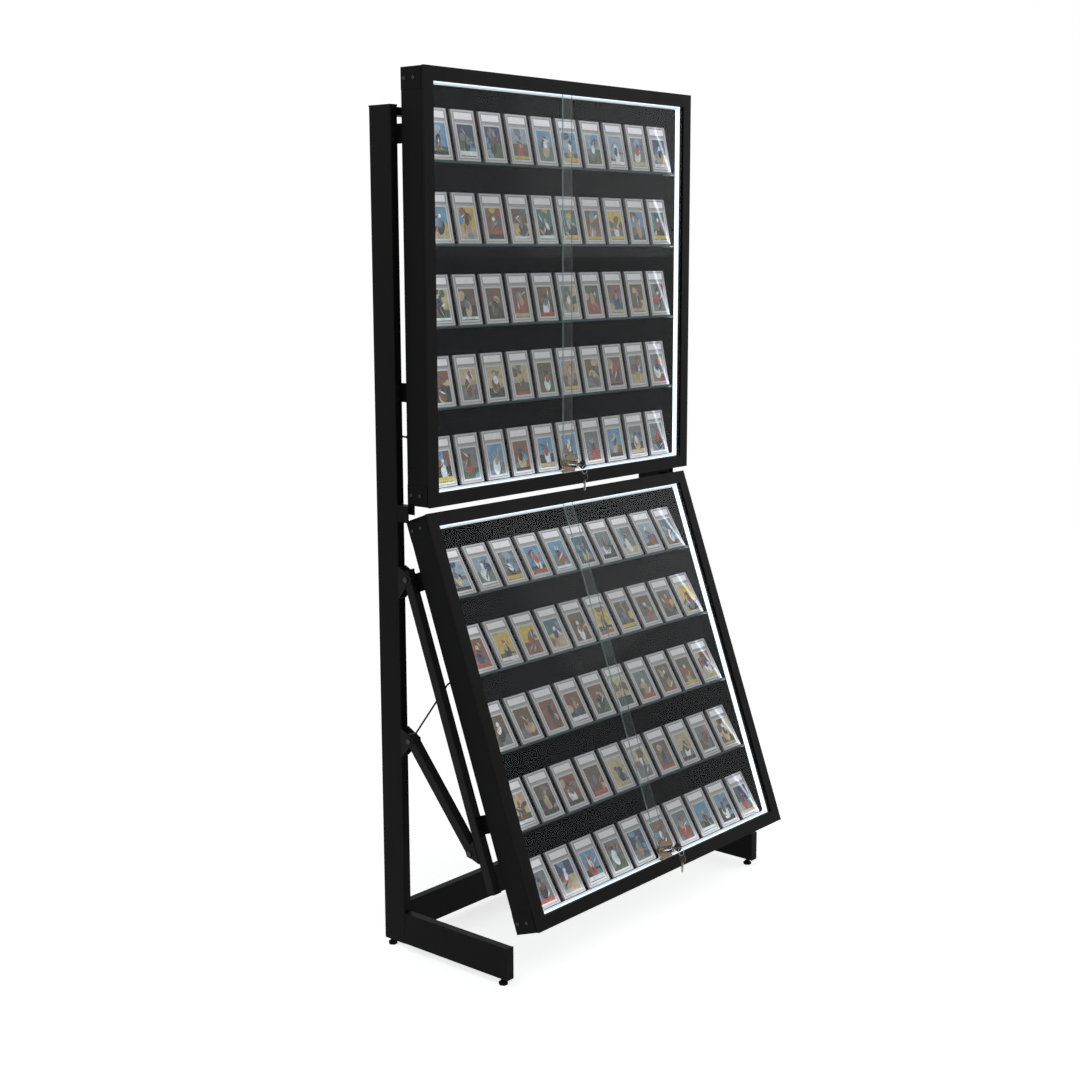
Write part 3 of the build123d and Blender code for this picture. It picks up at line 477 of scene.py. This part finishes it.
# ------------------------------------------------------------------ stage
class SHOWCASE_OT_stage(bpy.types.Operator):
    """Set the floor, the world, the soft lights and the camera"""
    bl_idname = "showcase.stage"
    bl_label = "Stage"

    def execute(self, context):
        setup = context.scene.showcase_studio
        scene = context.scene
        scene.view_settings.view_transform = "Standard"

        camera = bpy.data.cameras.new("camera")
        camera.lens = setup.lens
        camera.sensor_width = 36
        camera.sensor_fit = "HORIZONTAL"
        camera.clip_end = 100
        right = Vector((0.64998, -0.75995, -0.00351))
        up = Vector((0.13062, 0.10716, 0.98562))
        forward = right.cross(up) * -1
        turn = Matrix((right, up, -forward)).transposed().to_4x4()
        seat = bpy.data.objects.new("camera", camera)
        seat.matrix_world = Matrix.Translation((-3.5197, -2.9054 + SHIFT, 1.8228)) @ turn
        scene.collection.objects.link(seat)
        scene.camera = seat

        bpy.ops.mesh.primitive_plane_add(size=40, location=(0, 0, 0))
        floor = context.object
        floor.name = "floor"
        material, w, shader, _ = new_material("studio_floor")
        grain = w.add("ShaderNodeTexNoise", Scale=2.0, Detail=3.0)
        w.feed(shader.inputs["Base Color"], w.mix(w.span(grain.outputs[0], 0.3, 0.7, 0.0, 0.02),
                                                  rgba(setup.floor), (0.7, 0.7, 0.7, 1)))
        shader.inputs["Roughness"].default_value = 0.9
        shader.inputs["Specular IOR Level"].default_value = 0.0
        shader.inputs["Emission Color"].default_value = (1, 1, 1, 1)
        w.feed(shader.inputs["Emission Strength"], w.math("MULTIPLY", self.seen(w), 0.70))
        floor.data.materials.append(material)

        world = scene.world or bpy.data.worlds.new("studio")
        scene.world = world
        world.use_nodes = True
        tree = world.node_tree
        tree.nodes.clear()
        w = Wiring(tree)
        backdrop = w.add("ShaderNodeBackground", Color=(1, 1, 1, 1), Strength=1.0)
        daylight = w.add("ShaderNodeBackground", Color=(0.97, 0.985, 1.0, 1), Strength=setup.daylight)
        both = w.add("ShaderNodeMixShader", i0=self.seen(w), i1=daylight.outputs[0], i2=backdrop.outputs[0])
        w.add("ShaderNodeOutputWorld", Surface=both.outputs[0])

        for name, place, size, power in (
                ("key_softbox", (-3.6, -3.2, 4.2), 2.4, setup.softbox),
                ("fill_softbox", (3.8, -2.6, 3.0), 2.6, setup.softbox * 0.45),
                ("rear_softbox", (-1.5, 3.4, 3.6), 2.4, setup.softbox * 0.5)):
            light = bpy.data.lights.new(name, "AREA")
            light.shape = "SQUARE"
            light.size = size
            light.energy = power
            lamp = bpy.data.objects.new(name, light)
            aim = Vector((0, 0, 1.1)) - Vector(place)
            lamp.matrix_world = Matrix.Translation(place) @ aim.to_track_quat("-Z", "Y").to_matrix().to_4x4()
            scene.collection.objects.link(lamp)
        return {"FINISHED"}

    @staticmethod
    def seen(w):
        """1 where the backdrop is looked at straight, in a reflection or through glass."""
        path = w.add("ShaderNodeLightPath").outputs
        mirrored = w.math("MAXIMUM", path["Is Glossy Ray"], path["Is Transmission Ray"])
        return w.math("MAXIMUM", path["Is Camera Ray"], mirrored)


# ------------------------------------------------------------------ leads
class SHOWCASE_OT_leads(bpy.types.Operator):
    """Lay the lamp leads between the cases and the stand"""
    bl_idname = "showcase.leads"
    bl_label = "Leads"

    def execute(self, context):
        sleeve = coated("lead_sleeve", (0.006, 0.006, 0.0065), 0.55, ripple=0.0009, depth=0.00003,
                        specular=0.3)
        mouth = LOWER @ Vector((-0.527, 0.082, 0.653))
        bend = LOWER @ Vector((-0.527, 0.104, 0.653))
        turn_in = Vector((-0.527, SHIFT + 0.1198, 0.5454))
        along = (turn_in - bend).normalized()
        route = [
            mouth, bend, bend + along * 0.022, turn_in - along * 0.0086, turn_in,
            Vector((-0.533, SHIFT + 0.1235, 0.5406)), Vector((-0.539, SHIFT + 0.1235, 0.5406)),
        ]
        curve = bpy.data.curves.new("lower_lamp_lead", "CURVE")
        curve.dimensions = "3D"
        curve.bevel_depth = 0.0025
        curve.bevel_resolution = 4
        curve.resolution_u = 16
        spline = curve.splines.new("NURBS")
        spline.points.add(len(route) - 1)
        for point, place in zip(spline.points, route):
            point.co = (*place, 1)
        spline.order_u = 3
        spline.use_endpoint_u = True
        curve.materials.append(sleeve)
        lead = bpy.data.objects.new("lower_lamp_lead", curve)
        context.scene.collection.objects.link(lead)
        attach(lead, "stand")
        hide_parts("lower_led_lead")
        dress(sleeve, "upper_led_lead")
        return {"FINISHED"}


# ------------------------------------------------------------------ stand
class SHOWCASE_OT_stand(bpy.types.Operator):
    """Finish the tubes, brackets, bolts and feet"""
    bl_idname = "showcase.stand"
    bl_label = "Stand"

    def execute(self, context):
        look = context.scene.showcase_stand
        coat = coated("stand_powder_coat", look.coat, 0.50, ripple=look.peel, dust=0.03)
        arm_coat = coated("arm_powder_coat", look.arm_coat, 0.46, ripple=look.peel, dust=0.02)
        plastic = coated("black_plastic", (0.007, 0.007, 0.007), 0.58, ripple=0.0006, depth=0.00003)
        steel = coated("black_steel", (0.012, 0.012, 0.013), 0.34, ripple=0.0007, depth=0.00001, specular=0.4)
        rubber = coated("foot_rubber", (0.008, 0.008, 0.008), 0.78, ripple=0.0008, depth=0.00005)
        zinc = bare_metal("zinc_steel", (0.62, 0.62, 0.60), 0.32)
        dress(coat, "left_upright", "right_upright", "left_foot_tube", "right_foot_tube", "top_crossbar",
              "bottom_crossbar", "case_rests", "case_brackets")
        dress(arm_coat, "left_arm", "right_arm", "left_brace", "right_brace", "arm_clevises",
              "brace_clevises")
        dress(plastic, "tube_end_caps", "lead_glands", "power_inlet")
        dress(steel, "pivot_bolts")
        dress(zinc, "levelling_inserts")
        dress(rubber, *[f"{end}_{side}_levelling_foot"
                        for end in ("front", "rear") for side in ("left", "right")])
        return {"FINISHED"}


CORNER_SCREW_INSET, CORNER_SCREW_DEPTHS = 0.028, (0.035, 0.066)
BRACKET_DROPS = (0.157, 0.791)
SCREW_HEAD_HEIGHT = 0.0020


class SHOWCASE_OT_screws(bpy.types.Operator):
    """Set button-head screws in the corner plates and the brackets"""
    bl_idname = "showcase.screws"
    bl_label = "Screws"

    def execute(self, context):
        steel = coated("screw_steel", (0.014, 0.014, 0.015), 0.30, ripple=0.0006, depth=0.00001,
                       specular=0.45)
        black = coated("bracket_screw_steel", (0.005, 0.005, 0.005), 0.45, ripple=0.0006, depth=0.00001)
        for case, base in CASES.items():
            heads, bracket_heads = Turned(), Turned()
            tube_face = 0.100 if case == "upper" else 0.102
            for side in (-1, 1):
                outward = Matrix.Rotation(side * math.pi / 2, 4, "Y")
                for rise in (CORNER_SCREW_INSET, CASE_HEIGHT - CORNER_SCREW_INSET):
                    for depth in CORNER_SCREW_DEPTHS:
                        corner = Matrix.Translation((side * CASE_WIDTH / 2, depth, rise))
                        heads.button(base @ corner @ outward, 0.0045, SCREW_HEAD_HEIGHT)
                for drop in BRACKET_DROPS:
                    middle = CASE_HEIGHT - drop
                    for rise in (middle - 0.013, middle + 0.013):
                        for place, quarter in (((side * 0.557, tube_face - 0.0025, rise), math.pi / 2),
                                               ((side * 0.530, 0.0805, rise), -math.pi / 2)):
                            seat = base @ Matrix.Translation(place) @ Matrix.Rotation(quarter, 4, "X")
                            bracket_heads.button(seat, 0.0042, SCREW_HEAD_HEIGHT)
            for name, set_of_heads, metal in (("corner", heads, steel), ("bracket", bracket_heads, black)):
                screws = new_piece(f"{case}_{name}_screws", set_of_heads.verts, set_of_heads.faces, [metal],
                                   smooth=True)
        return {"FINISHED"}


# ------------------------------------------------------------------ cases
class SHOWCASE_OT_cases(bpy.types.Operator):
    """Finish the frames, bezels, tracks and panels of both cases"""
    bl_idname = "showcase.cases"
    bl_label = "Cases"

    def execute(self, context):
        look = context.scene.showcase_case
        frame_coat = coated("case_anodised", look.frame_black, 0.40, ripple=0.0007, depth=0.00001, dust=0.01)
        bezel_coat = coated("bezel_anodised", look.bezel_black, 0.38, ripple=0.0007, depth=0.00001, dust=0.01)
        track = coated("track_plastic", (0.006, 0.006, 0.0065), 0.5, ripple=0.0008, depth=0.00002)
        # painted highlight: the clear shelf clips get a pale opaque colour for the bright glint they show
        clip = coated("clear_clip", (0.62, 0.66, 0.70), 0.15, ripple=0.004, depth=0.00001, specular=0.5)
        dress(frame_coat, "corner_plates")
        dress(clip, "shelf_clips")
        for case, base in CASES.items():
            panel = panel_sheet(f"{case}_back_panel", base, look.panel, look.panel_back_lightened)
            dress(frame_coat, f"{case}_case_frame")
            dress(bezel_coat, f"{case}_bezel")
            dress(track, f"{case}_door_tracks")
            dress(panel, f"{case}_back_panel", f"{case}_floor_plate")
        return {"FINISHED"}


LAMP_FRONT, LAMP_SLOPE = 0.0163, 0.0026
SPILL_SHARE = 0.12
LEVEL_FACE_TONE = (0.30, 0.34, 0.38, 1)  # a level strip's face, which looks dimmer than an upright one's


class SHOWCASE_OT_lamps(bpy.types.Operator):
    """Light the diffusers round the inside of both cases"""
    bl_idname = "showcase.lamps"
    bl_label = "Lamps"

    def execute(self, context):
        look = context.scene.showcase_case
        for case, base in CASES.items():
            material, w, shader, output = new_material(f"{case}_led_diffuser")
            coords = w.add("ShaderNodeTexCoord").outputs
            milk = w.add("ShaderNodeTexNoise", Vector=coords["Object"], Scale=60.0, Detail=2.0)
            inward = tuple(base.to_3x3() @ INWARD)
            sloping = w.math("GREATER_THAN", w.math("ABSOLUTE", w.dot(coords["Normal"], inward)), 0.2)
            face = w.mix(w.span(milk.outputs[0], 0.3, 0.7, 0.0, 0.15), rgba(look.lamp), (0.75, 0.85, 0.95, 1))
            # a level strip's sides fade with depth into the case, an upright strip's sides stay lit
            wall = Vector(inward).dot(base.translation) + LAMP_FRONT
            fade = w.span(w.dot(coords["Object"], inward), wall, wall + LAMP_SLOPE, 1.0, 0.12)
            across = w.add("ShaderNodeSeparateXYZ", Vector=coords["Normal"]).outputs[0]
            upright = w.math("GREATER_THAN", w.math("ABSOLUTE", across), 0.2)
            level = w.math("MAXIMUM", upright, fade)
            side = tuple(channel * look.lamp_side for channel in look.lamp)
            flank = w.mix(level, BLACK, rgba(side))
            w.feed(shader.inputs["Base Color"],
                   w.mix(milk.outputs[0], (0.80, 0.84, 0.88, 1), (0.88, 0.91, 0.94, 1)))
            dimmed = w.mix(upright, LEVEL_FACE_TONE, face)
            w.feed(shader.inputs["Emission Color"], w.mix(sloping, dimmed, flank))
            shader.inputs["Emission Strength"].default_value = look.lamp_glare
            shader.inputs["Roughness"].default_value = 0.4
            # looked at, a diffuser is just white; what it lights and mirrors gets its full power,
            # and far less of that leaves its sides than its face
            spill = w.mix(level, BLACK, rgba(tuple(channel * SPILL_SHARE for channel in look.lamp)))
            cast = w.add("ShaderNodeEmission", Color=w.mix(sloping, face, spill), Strength=look.lamp_strength)
            path = w.add("ShaderNodeLightPath").outputs
            seen = w.math("MAXIMUM", path["Is Camera Ray"], path["Is Transmission Ray"])
            both = w.add("ShaderNodeMixShader", i0=seen, i1=cast.outputs[0], i2=shader.outputs[0])
            w.feed(output.inputs["Surface"], both.outputs[0])
            dress(material, f"{case}_led_strips")
        return {"FINISHED"}


class SHOWCASE_OT_glass(bpy.types.Operator):
    """Finish the sliding doors and the shelves"""
    bl_idname = "showcase.glass"
    bl_label = "Glass"

    def execute(self, context):
        look = context.scene.showcase_glass
        for case, base in CASES.items():
            turn = base.to_3x3()
            pane = clear_glass(f"{case}_pane_glass", look, tuple(turn @ INWARD))
            shelf = clear_glass(f"{case}_shelf_glass", look, tuple(turn @ Vector((0, 0, 1))))
            dress(pane, f"{case}_left_door", f"{case}_right_door")
            dress(shelf, f"{case}_glass_shelves")
        return {"FINISHED"}


# ------------------------------------------------------------------ graded cards
PRINT_TONES = {
    "sky": (0.13, 0.25, 0.40), "navy": (0.025, 0.045, 0.10), "white": (0.70, 0.70, 0.72),
    "sand": (0.46, 0.36, 0.22), "gold": (0.55, 0.38, 0.07), "red": (0.38, 0.06, 0.035),
    "brick": (0.20, 0.070, 0.045), "brown": (0.12, 0.070, 0.045), "field": (0.06, 0.09, 0.045),
    "grey": (0.15, 0.155, 0.165), "night": (0.012, 0.012, 0.014), "teal": (0.045, 0.115, 0.13),
    "tan": (0.42, 0.25, 0.17), "mist": (0.26, 0.33, 0.41),
}
ROW_GROUNDS = (
    ("sky", "grey", "navy", "brick", "sky", "grey"),
    ("brick", "brown", "sand", "brown", "grey", "tan"),
    ("brick", "brown", "grey", "sand", "brown", "field"),
    ("sky", "brown", "gold", "brick", "teal", "brown"),
    ("mist", "grey", "mist", "navy", "mist", "sky"),
)
ACCENTS = ("white", "white", "tan", "red", "navy", "night", "sand", "brown", "grey")
BANDS = ("field", "brown", "sand", "night", "grey", "brick")
FOOT_BANDS = ("gold", "red", "white", "sand", "night", "white")
COLUMNS, COLUMN_PITCH = 10, 0.1016
HOLDER_HEIGHT, HOLDER_THICKNESS = 0.130, 0.0065
HOLDER_FOOT_DEPTH, HOLDER_BACK_DEPTH = 0.032, 0.066
CARD_GLOSS = 0.55


class FlatArt:
    """Collects flat shapes on the holders' faces, with a material index and a colour for each."""

    def __init__(self):
        self.verts, self.faces, self.slots, self.tones = [], [], [], []

    def shape(self, place, outline, height, slot, tone=(1, 1, 1)):
        start = len(self.verts)
        self.verts += [place @ Vector((x, y, height)) for x, y in outline]
        self.faces.append(tuple(range(start, start + len(outline))))
        self.slots.append(slot)
        self.tones.append(tone)

    def bar(self, place, x0, y0, x1, y1, low, high, slot, lean=0.0004):
        """A low raised bar with sloping sides."""
        start = len(self.verts)
        for inset, height in ((0, low), (lean, high)):
            for x, y in ((x0 + inset, y0 + inset), (x1 - inset, y0 + inset),
                         (x1 - inset, y1 - inset), (x0 + inset, y1 - inset)):
                self.verts.append(place @ Vector((x, y, height)))
        quads = [(4, 5, 6, 7)] + [(i, (i + 1) % 4, 4 + (i + 1) % 4, 4 + i) for i in range(4)]
        for quad in quads:
            self.faces.append(tuple(start + i for i in quad))
            self.slots.append(slot)
            self.tones.append((1, 1, 1))


def box_outline(x0, y0, x1, y1):
    return [(x0, y0), (x1, y0), (x1, y1), (x0, y1)]


def disc_outline(x, y, rx, ry, count=14, turn=0.0):
    points = []
    for i in range(count):
        a = 2 * math.pi * i / count
        px, py = rx * math.cos(a), ry * math.sin(a)
        points.append((x + px * math.cos(turn) - py * math.sin(turn),
                       y + px * math.sin(turn) + py * math.cos(turn)))
    return points


def clipped(points, x0, y0, x1, y1):
    return [(min(max(x, x0), x1), min(max(y, y0), y1)) for x, y in points]


class SHOWCASE_OT_cards(bpy.types.Operator):
    """Dress the graded cards: holder rims, bare labels and generic printed pictures"""
    bl_idname = "showcase.cards"
    bl_label = "Graded cards"

    def execute(self, context):
        look = context.scene.showcase_card
        holder = coated("card_holder", look.holder, 0.30, ripple=0.004, depth=0.00001, specular=0.2,
                        coat=CARD_GLOSS)
        rim = coated("holder_rim", look.rim, 0.26, ripple=0.003, depth=0.00001, specular=0.2, coat=CARD_GLOSS)
        label = self.stock("card_label", look.label)
        border = self.stock("card_border", look.border)
        picture = self.stock("card_picture", None)
        random.seed(look.seed)
        for case, base in CASES.items():
            dress(holder, f"{case}_graded_cards")
            art = FlatArt()
            for row, top in enumerate(SHELF_TOPS):
                for column in range(COLUMNS):
                    self.card(art, self.face_place(base, row, column), row)
            piece = new_piece(f"{case}_card_faces", art.verts, art.faces, [rim, label, border, picture],
                              art.slots)
            tones = piece.data.color_attributes.new("print_tone", "FLOAT_COLOR", "CORNER")
            for polygon in piece.data.polygons:
                for loop in polygon.loop_indices:
                    tones.data[loop].color = (*art.tones[polygon.index], 1)
        return {"FINISHED"}

    @staticmethod
    def stock(name, colour):
        """Card stock of one colour, or of the colour that each shape carries."""
        material, w, shader, _ = new_material(name)
        if colour:
            tone = rgba(colour)
        else:
            tone = w.add("ShaderNodeAttribute", {"attribute_name": "print_tone"}).outputs[0]
        ink = effect(w, "paper_print", Color=tone, Grain=0.15 if colour else 0.8)
        w.feed(shader.inputs["Base Color"], ink["Color"])
        w.feed(shader.inputs["Roughness"], ink["Roughness"])
        shader.inputs["Specular IOR Level"].default_value = 0.1
        shader.inputs["Coat Weight"].default_value = CARD_GLOSS
        shader.inputs["Coat Roughness"].default_value = COAT_ROUGHNESS
        return material

    @staticmethod
    def face_place(base, row, column):
        """The frame of one holder's front: x across, y up the face, z out of it."""
        lean = math.asin((HOLDER_BACK_DEPTH - HOLDER_FOOT_DEPTH - HOLDER_THICKNESS) / HOLDER_HEIGHT)
        foot = SHELF_TOPS[row] + HOLDER_THICKNESS * math.sin(lean) + 0.00005
        x = (column - (COLUMNS - 1) / 2) * COLUMN_PITCH
        seat = Matrix.Translation((x, HOLDER_FOOT_DEPTH, foot))
        return base @ seat @ Matrix.Rotation(math.pi / 2 - lean, 4, "X")

    def card(self, art, place, row):
        rise = 0.0006
        # the holder's raised rim, with a bar between label and card
        for x0, y0, x1, y1 in (
                (-0.0415, 0.0005, -0.0365, 0.1295), (0.0365, 0.0005, 0.0415, 0.1295),
                (-0.0365, 0.0005, 0.0365, 0.0050), (-0.0365, 0.1255, 0.0365, 0.1295),
                (-0.0365, 0.0985, 0.0365, 0.1000)):
            art.bar(place, x0, y0, x1, y1, -0.0001, rise, 0)
        art.shape(place, box_outline(-0.0325, 0.1055, 0.0325, 0.1225), 0.00015, 1)
        art.shape(place, box_outline(-0.0335, 0.0075, 0.0335, 0.0970), 0.00015, 2)
        self.picture(art, place, row)

    @staticmethod
    def picture(art, place, row):
        """An abstract picture: a ground, a band, blots, a stack of three ovals, strokes and a foot band."""
        x0, y0, x1, y1 = -0.0292, 0.0120, 0.0292, 0.0925
        pick, between = random.choice, random.uniform
        art.shape(place, box_outline(x0, y0, x1, y1), 0.00020, 3, PRINT_TONES[pick(ROW_GROUNDS[row])])
        horizon = y0 + (y1 - y0) * between(0.25, 0.55)
        art.shape(place, box_outline(x0, y0, x1, horizon), 0.00023, 3, PRINT_TONES[pick(BANDS)])
        height = 0.00026
        for _ in range(4):
            outline = disc_outline(between(x0, x1), between(y0, y1), between(0.008, 0.018),
                                   between(0.006, 0.016), 12, between(-0.9, 0.9))
            art.shape(place, clipped(outline, x0, y0, x1, y1), height, 3, PRINT_TONES[pick(ROW_GROUNDS[row])])
            height += 0.00002
        middle, lean, foot = between(-0.005, 0.005), between(-0.35, 0.35), between(y0 + 0.022, y0 + 0.032)
        for rise, rx, ry, count in (
                (0.0, 0.012, 0.022, 12), (0.014, 0.008, 0.014, 7), (0.030, 0.0055, 0.0065, 10)):
            outline = disc_outline(middle + between(-0.003, 0.003), foot + rise, rx * between(0.8, 1.2),
                                   ry * between(0.8, 1.1), count, lean + between(-0.2, 0.2))
            art.shape(place, clipped(outline, x0, y0, x1, y1), height, 3, PRINT_TONES[pick(ACCENTS)])
            height += 0.00002
        for _ in range(3):
            x, y, turn = between(-0.018, 0.018), between(y0 + 0.015, y1 - 0.015), between(-1.2, 1.2)
            outline = disc_outline(x, y, between(0.0012, 0.0028), between(0.008, 0.020), 4, turn)
            art.shape(place, clipped(outline, x0, y0, x1, y1), height, 3, PRINT_TONES[pick(ACCENTS)])
            height += 0.00002
        if random.random() < 0.6:
            top = y0 + between(0.007, 0.014)
            art.shape(place, box_outline(x0, y0 + 0.002, x1, top), height, 3, PRINT_TONES[pick(FOOT_BANDS)])


# ------------------------------------------------------------------ locks
LOCK_X, LOCK_HEIGHT = -0.004, 0.061
BARREL_FRONT = -0.0338
KEY_BOW, KEY_BLADE, KEY_HOLE, KEY_THICKNESS = 0.0115, 0.0075, 0.0026, 0.0018
KEY_BOW_DEPTH, KEY_HOLE_DEPTH = -0.0483, -0.0553
RING_RADIUS, RING_WIRE, RING_HEIGHT = 0.011, 0.0015, 0.04861
BOW_DROP = 0.00839
WORKING_KEY_TIP, HANGING_KEY_TIP = 0.0333, 0.0395
CLAMP_DEPTH = 0.0019  # the clamp plate in front of it is bright, the part behind it is bronze


class SHOWCASE_OT_locks(bpy.types.Operator):
    """Finish the locks, bolts and keys"""
    bl_idname = "showcase.locks"
    bl_label = "Locks"

    def execute(self, context):
        chrome = bare_metal("lock_chrome", (0.52, 0.49, 0.45), 0.18)
        steel = bare_metal("key_steel", (0.50, 0.48, 0.45), 0.30, stretch=(900, 200, 200))
        # painted shade: the working key's bow is the hanging key's dark nickel painted darker, for the shade
        # it sits in
        shaded_bow = bare_metal("key_bow_painted_shade", (0.045, 0.040, 0.040), 0.38)
        nickel_bow = bare_metal("key_bow_nickel", (0.125, 0.110, 0.105), 0.34)
        for case, base in CASES.items():
            body = two_metals(f"{case}_lock_metals", base, CLAMP_DEPTH, (0.56, 0.54, 0.50),
                              (0.215, 0.165, 0.115), 0.20)
            dress(body, f"{case}_lock_body")
            dress(chrome, f"{case}_lock_plug")
            dress(steel, f"{case}_lock_bolt")
            self.trim(case, base, chrome)
            seat = base @ Matrix.Translation((LOCK_X, KEY_BOW_DEPTH, LOCK_HEIGHT)) @ Matrix((
                (0, 0, 1, 0), (1, 0, 0, 0), (0, 1, 0, 0), (0, 0, 0, 1)))
            self.key(f"{case}_working_key", seat, WORKING_KEY_TIP, [steel, shaded_bow],
                     f"{case}_key", f"{case}_lock_key")
            self.ring(case, base, steel)
            foot = base @ Vector((LOCK_X, KEY_HOLE_DEPTH, RING_HEIGHT - RING_RADIUS))
            plumb = Matrix.Translation(foot - Vector((0, 0, BOW_DROP))) @ Matrix((
                (0, 0, 1, 0), (0, 1, 0, 0), (-1, 0, 0, 0), (0, 0, 0, 1)))
            self.key(f"{case}_hanging_key", plumb, HANGING_KEY_TIP, [steel, nickel_bow],
                     f"{case}_spare", f"{case}_spare_key")
        return {"FINISHED"}

    @staticmethod
    def key(name, place, tip, materials, body, node):
        """A flat key with a round holed bow, a milled edge and softened rims, in place of its plain solid."""
        half = KEY_BLADE / 2
        start = math.asin(half / KEY_BOW)
        arc = [start + (2 * math.pi - 2 * start) * i / 40 for i in range(41)]
        outline = [(KEY_BOW * math.cos(a), KEY_BOW * math.sin(a)) for a in arc]
        outline += [(tip - 0.004, -half), (tip, -half + 0.003),
                    (tip, half - 0.0035), (tip - 0.0025, half - 0.0015)]
        cut = tip - 0.0035
        for depth in (0.0014, 0.0026, 0.0010, 0.0022, 0.0016):
            outline += [(cut, half - depth), (cut - 0.0012, half - depth), (cut - 0.0022, half - 0.0004)]
            cut -= 0.0034
        outline.append((cut, half))
        hole = [(KEY_HOLE * math.cos(math.pi * i / 12) - KEY_BOW + 0.0045,
                 KEY_HOLE * math.sin(math.pi * i / 12)) for i in range(24)]
        edge = 0.0002
        curve = bpy.data.curves.new(name, "CURVE")
        curve.dimensions = "2D"
        curve.fill_mode = "BOTH"
        curve.extrude = KEY_THICKNESS / 2 - edge
        curve.bevel_depth = edge
        curve.bevel_resolution = 1
        curve.offset = -edge
        for points in (outline, hole):
            spline = curve.splines.new("POLY")
            spline.points.add(len(points) - 1)
            for point, (x, y) in zip(spline.points, points):
                point.co = (x, y, 0, 1)
            spline.use_cyclic_u = True
        pattern = bpy.data.objects.new(name, curve)
        mesh = bpy.data.meshes.new_from_object(pattern)
        bpy.data.objects.remove(pattern)
        mesh.materials.clear()
        for material in materials:
            mesh.materials.append(material)
        for polygon in mesh.polygons:
            middle = polygon.center
            polygon.material_index = int(middle.x < KEY_BOW and middle.length < KEY_BOW + 0.0004)
        mesh.transform(place)
        piece = bpy.data.objects.new(name, mesh)
        bpy.context.scene.collection.objects.link(piece)
        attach(piece, body)
        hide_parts(node)

    @staticmethod
    def ring(case, base, steel):
        """The round wire ring through the working key's bow."""
        verts, faces = [], []
        turns, around = 48, 10
        centre = base @ Matrix.Translation((LOCK_X, KEY_HOLE_DEPTH, RING_HEIGHT))
        for i in range(turns):
            a = 2 * math.pi * i / turns
            for j in range(around):
                b = 2 * math.pi * j / around
                reach = RING_RADIUS + RING_WIRE / 2 * math.cos(b)
                verts.append(centre @ Vector(
                    (reach * math.cos(a), RING_WIRE / 2 * math.sin(b), reach * math.sin(a))))
                faces.append((i * around + j, i * around + (j + 1) % around,
                              (i + 1) % turns * around + (j + 1) % around, (i + 1) % turns * around + j))
        piece = new_piece(f"{case}_key_ring", verts, faces, [steel], body=f"{case}_key", smooth=True)

    @staticmethod
    def trim(case, base, chrome):
        """A turned collar on the front of the barrel, round the plug."""
        collar = Turned()
        mouth = Matrix.Translation((LOCK_X, BARREL_FRONT, LOCK_HEIGHT))
        front = base @ mouth @ Matrix.Rotation(math.pi / 2, 4, "X")
        collar.ring(front, ((0.0063, 0.0), (0.0063, 0.0005), (0.0067, 0.0009), (0.0084, 0.0009),
                            (0.0092, 0.0004), (0.0093, 0.0)), 40)
        piece = new_piece(f"{case}_lock_collar", collar.verts, collar.faces, [chrome],
                          body=f"{case}_right_door", smooth=True)


# ------------------------------------------------------------------ panel and registration
class SHOWCASE_PT_panel(bpy.types.Panel):
    """Lists the showcase's pieces"""
    bl_label = "Card Showcase"
    bl_space_type = "VIEW_3D"
    bl_region_type = "UI"
    bl_category = "Showcase"

    def draw(self, context):
        for operator in OPERATORS:
            self.layout.operator(operator.bl_idname)
        for pointer, group in SETTINGS.items():
            box = self.layout.box()
            for key in group.__annotations__:
                box.prop(getattr(context.scene, pointer), key)


SETTINGS = {
    "showcase_studio": StudioSetup, "showcase_stand": StandFinish, "showcase_case": CaseFinish,
    "showcase_glass": GlassFinish, "showcase_card": CardFinish,
}
OPERATORS = (
    SHOWCASE_OT_stage, SHOWCASE_OT_leads, SHOWCASE_OT_stand, SHOWCASE_OT_screws, SHOWCASE_OT_cases,
    SHOWCASE_OT_lamps, SHOWCASE_OT_glass, SHOWCASE_OT_cards, SHOWCASE_OT_locks,
)


def register():
    for item in (*SETTINGS.values(), *OPERATORS, SHOWCASE_PT_panel):
        bpy.utils.register_class(item)
    for pointer, group in SETTINGS.items():
        setattr(bpy.types.Scene, pointer, PointerProperty(type=group))


def unregister():
    for pointer in SETTINGS:
        delattr(bpy.types.Scene, pointer)
    for item in (SHOWCASE_PT_panel, *reversed(OPERATORS), *reversed(tuple(SETTINGS.values()))):
        bpy.utils.unregister_class(item)


def main():
    register()
    bpy.ops.showcase.stage()
    bpy.ops.showcase.leads()
    bpy.ops.showcase.stand()
    bpy.ops.showcase.screws()
    bpy.ops.showcase.cases()
    bpy.ops.showcase.lamps()
    bpy.ops.showcase.glass()
    bpy.ops.showcase.cards()
    bpy.ops.showcase.locks()


if __name__ == "__main__":
    main()
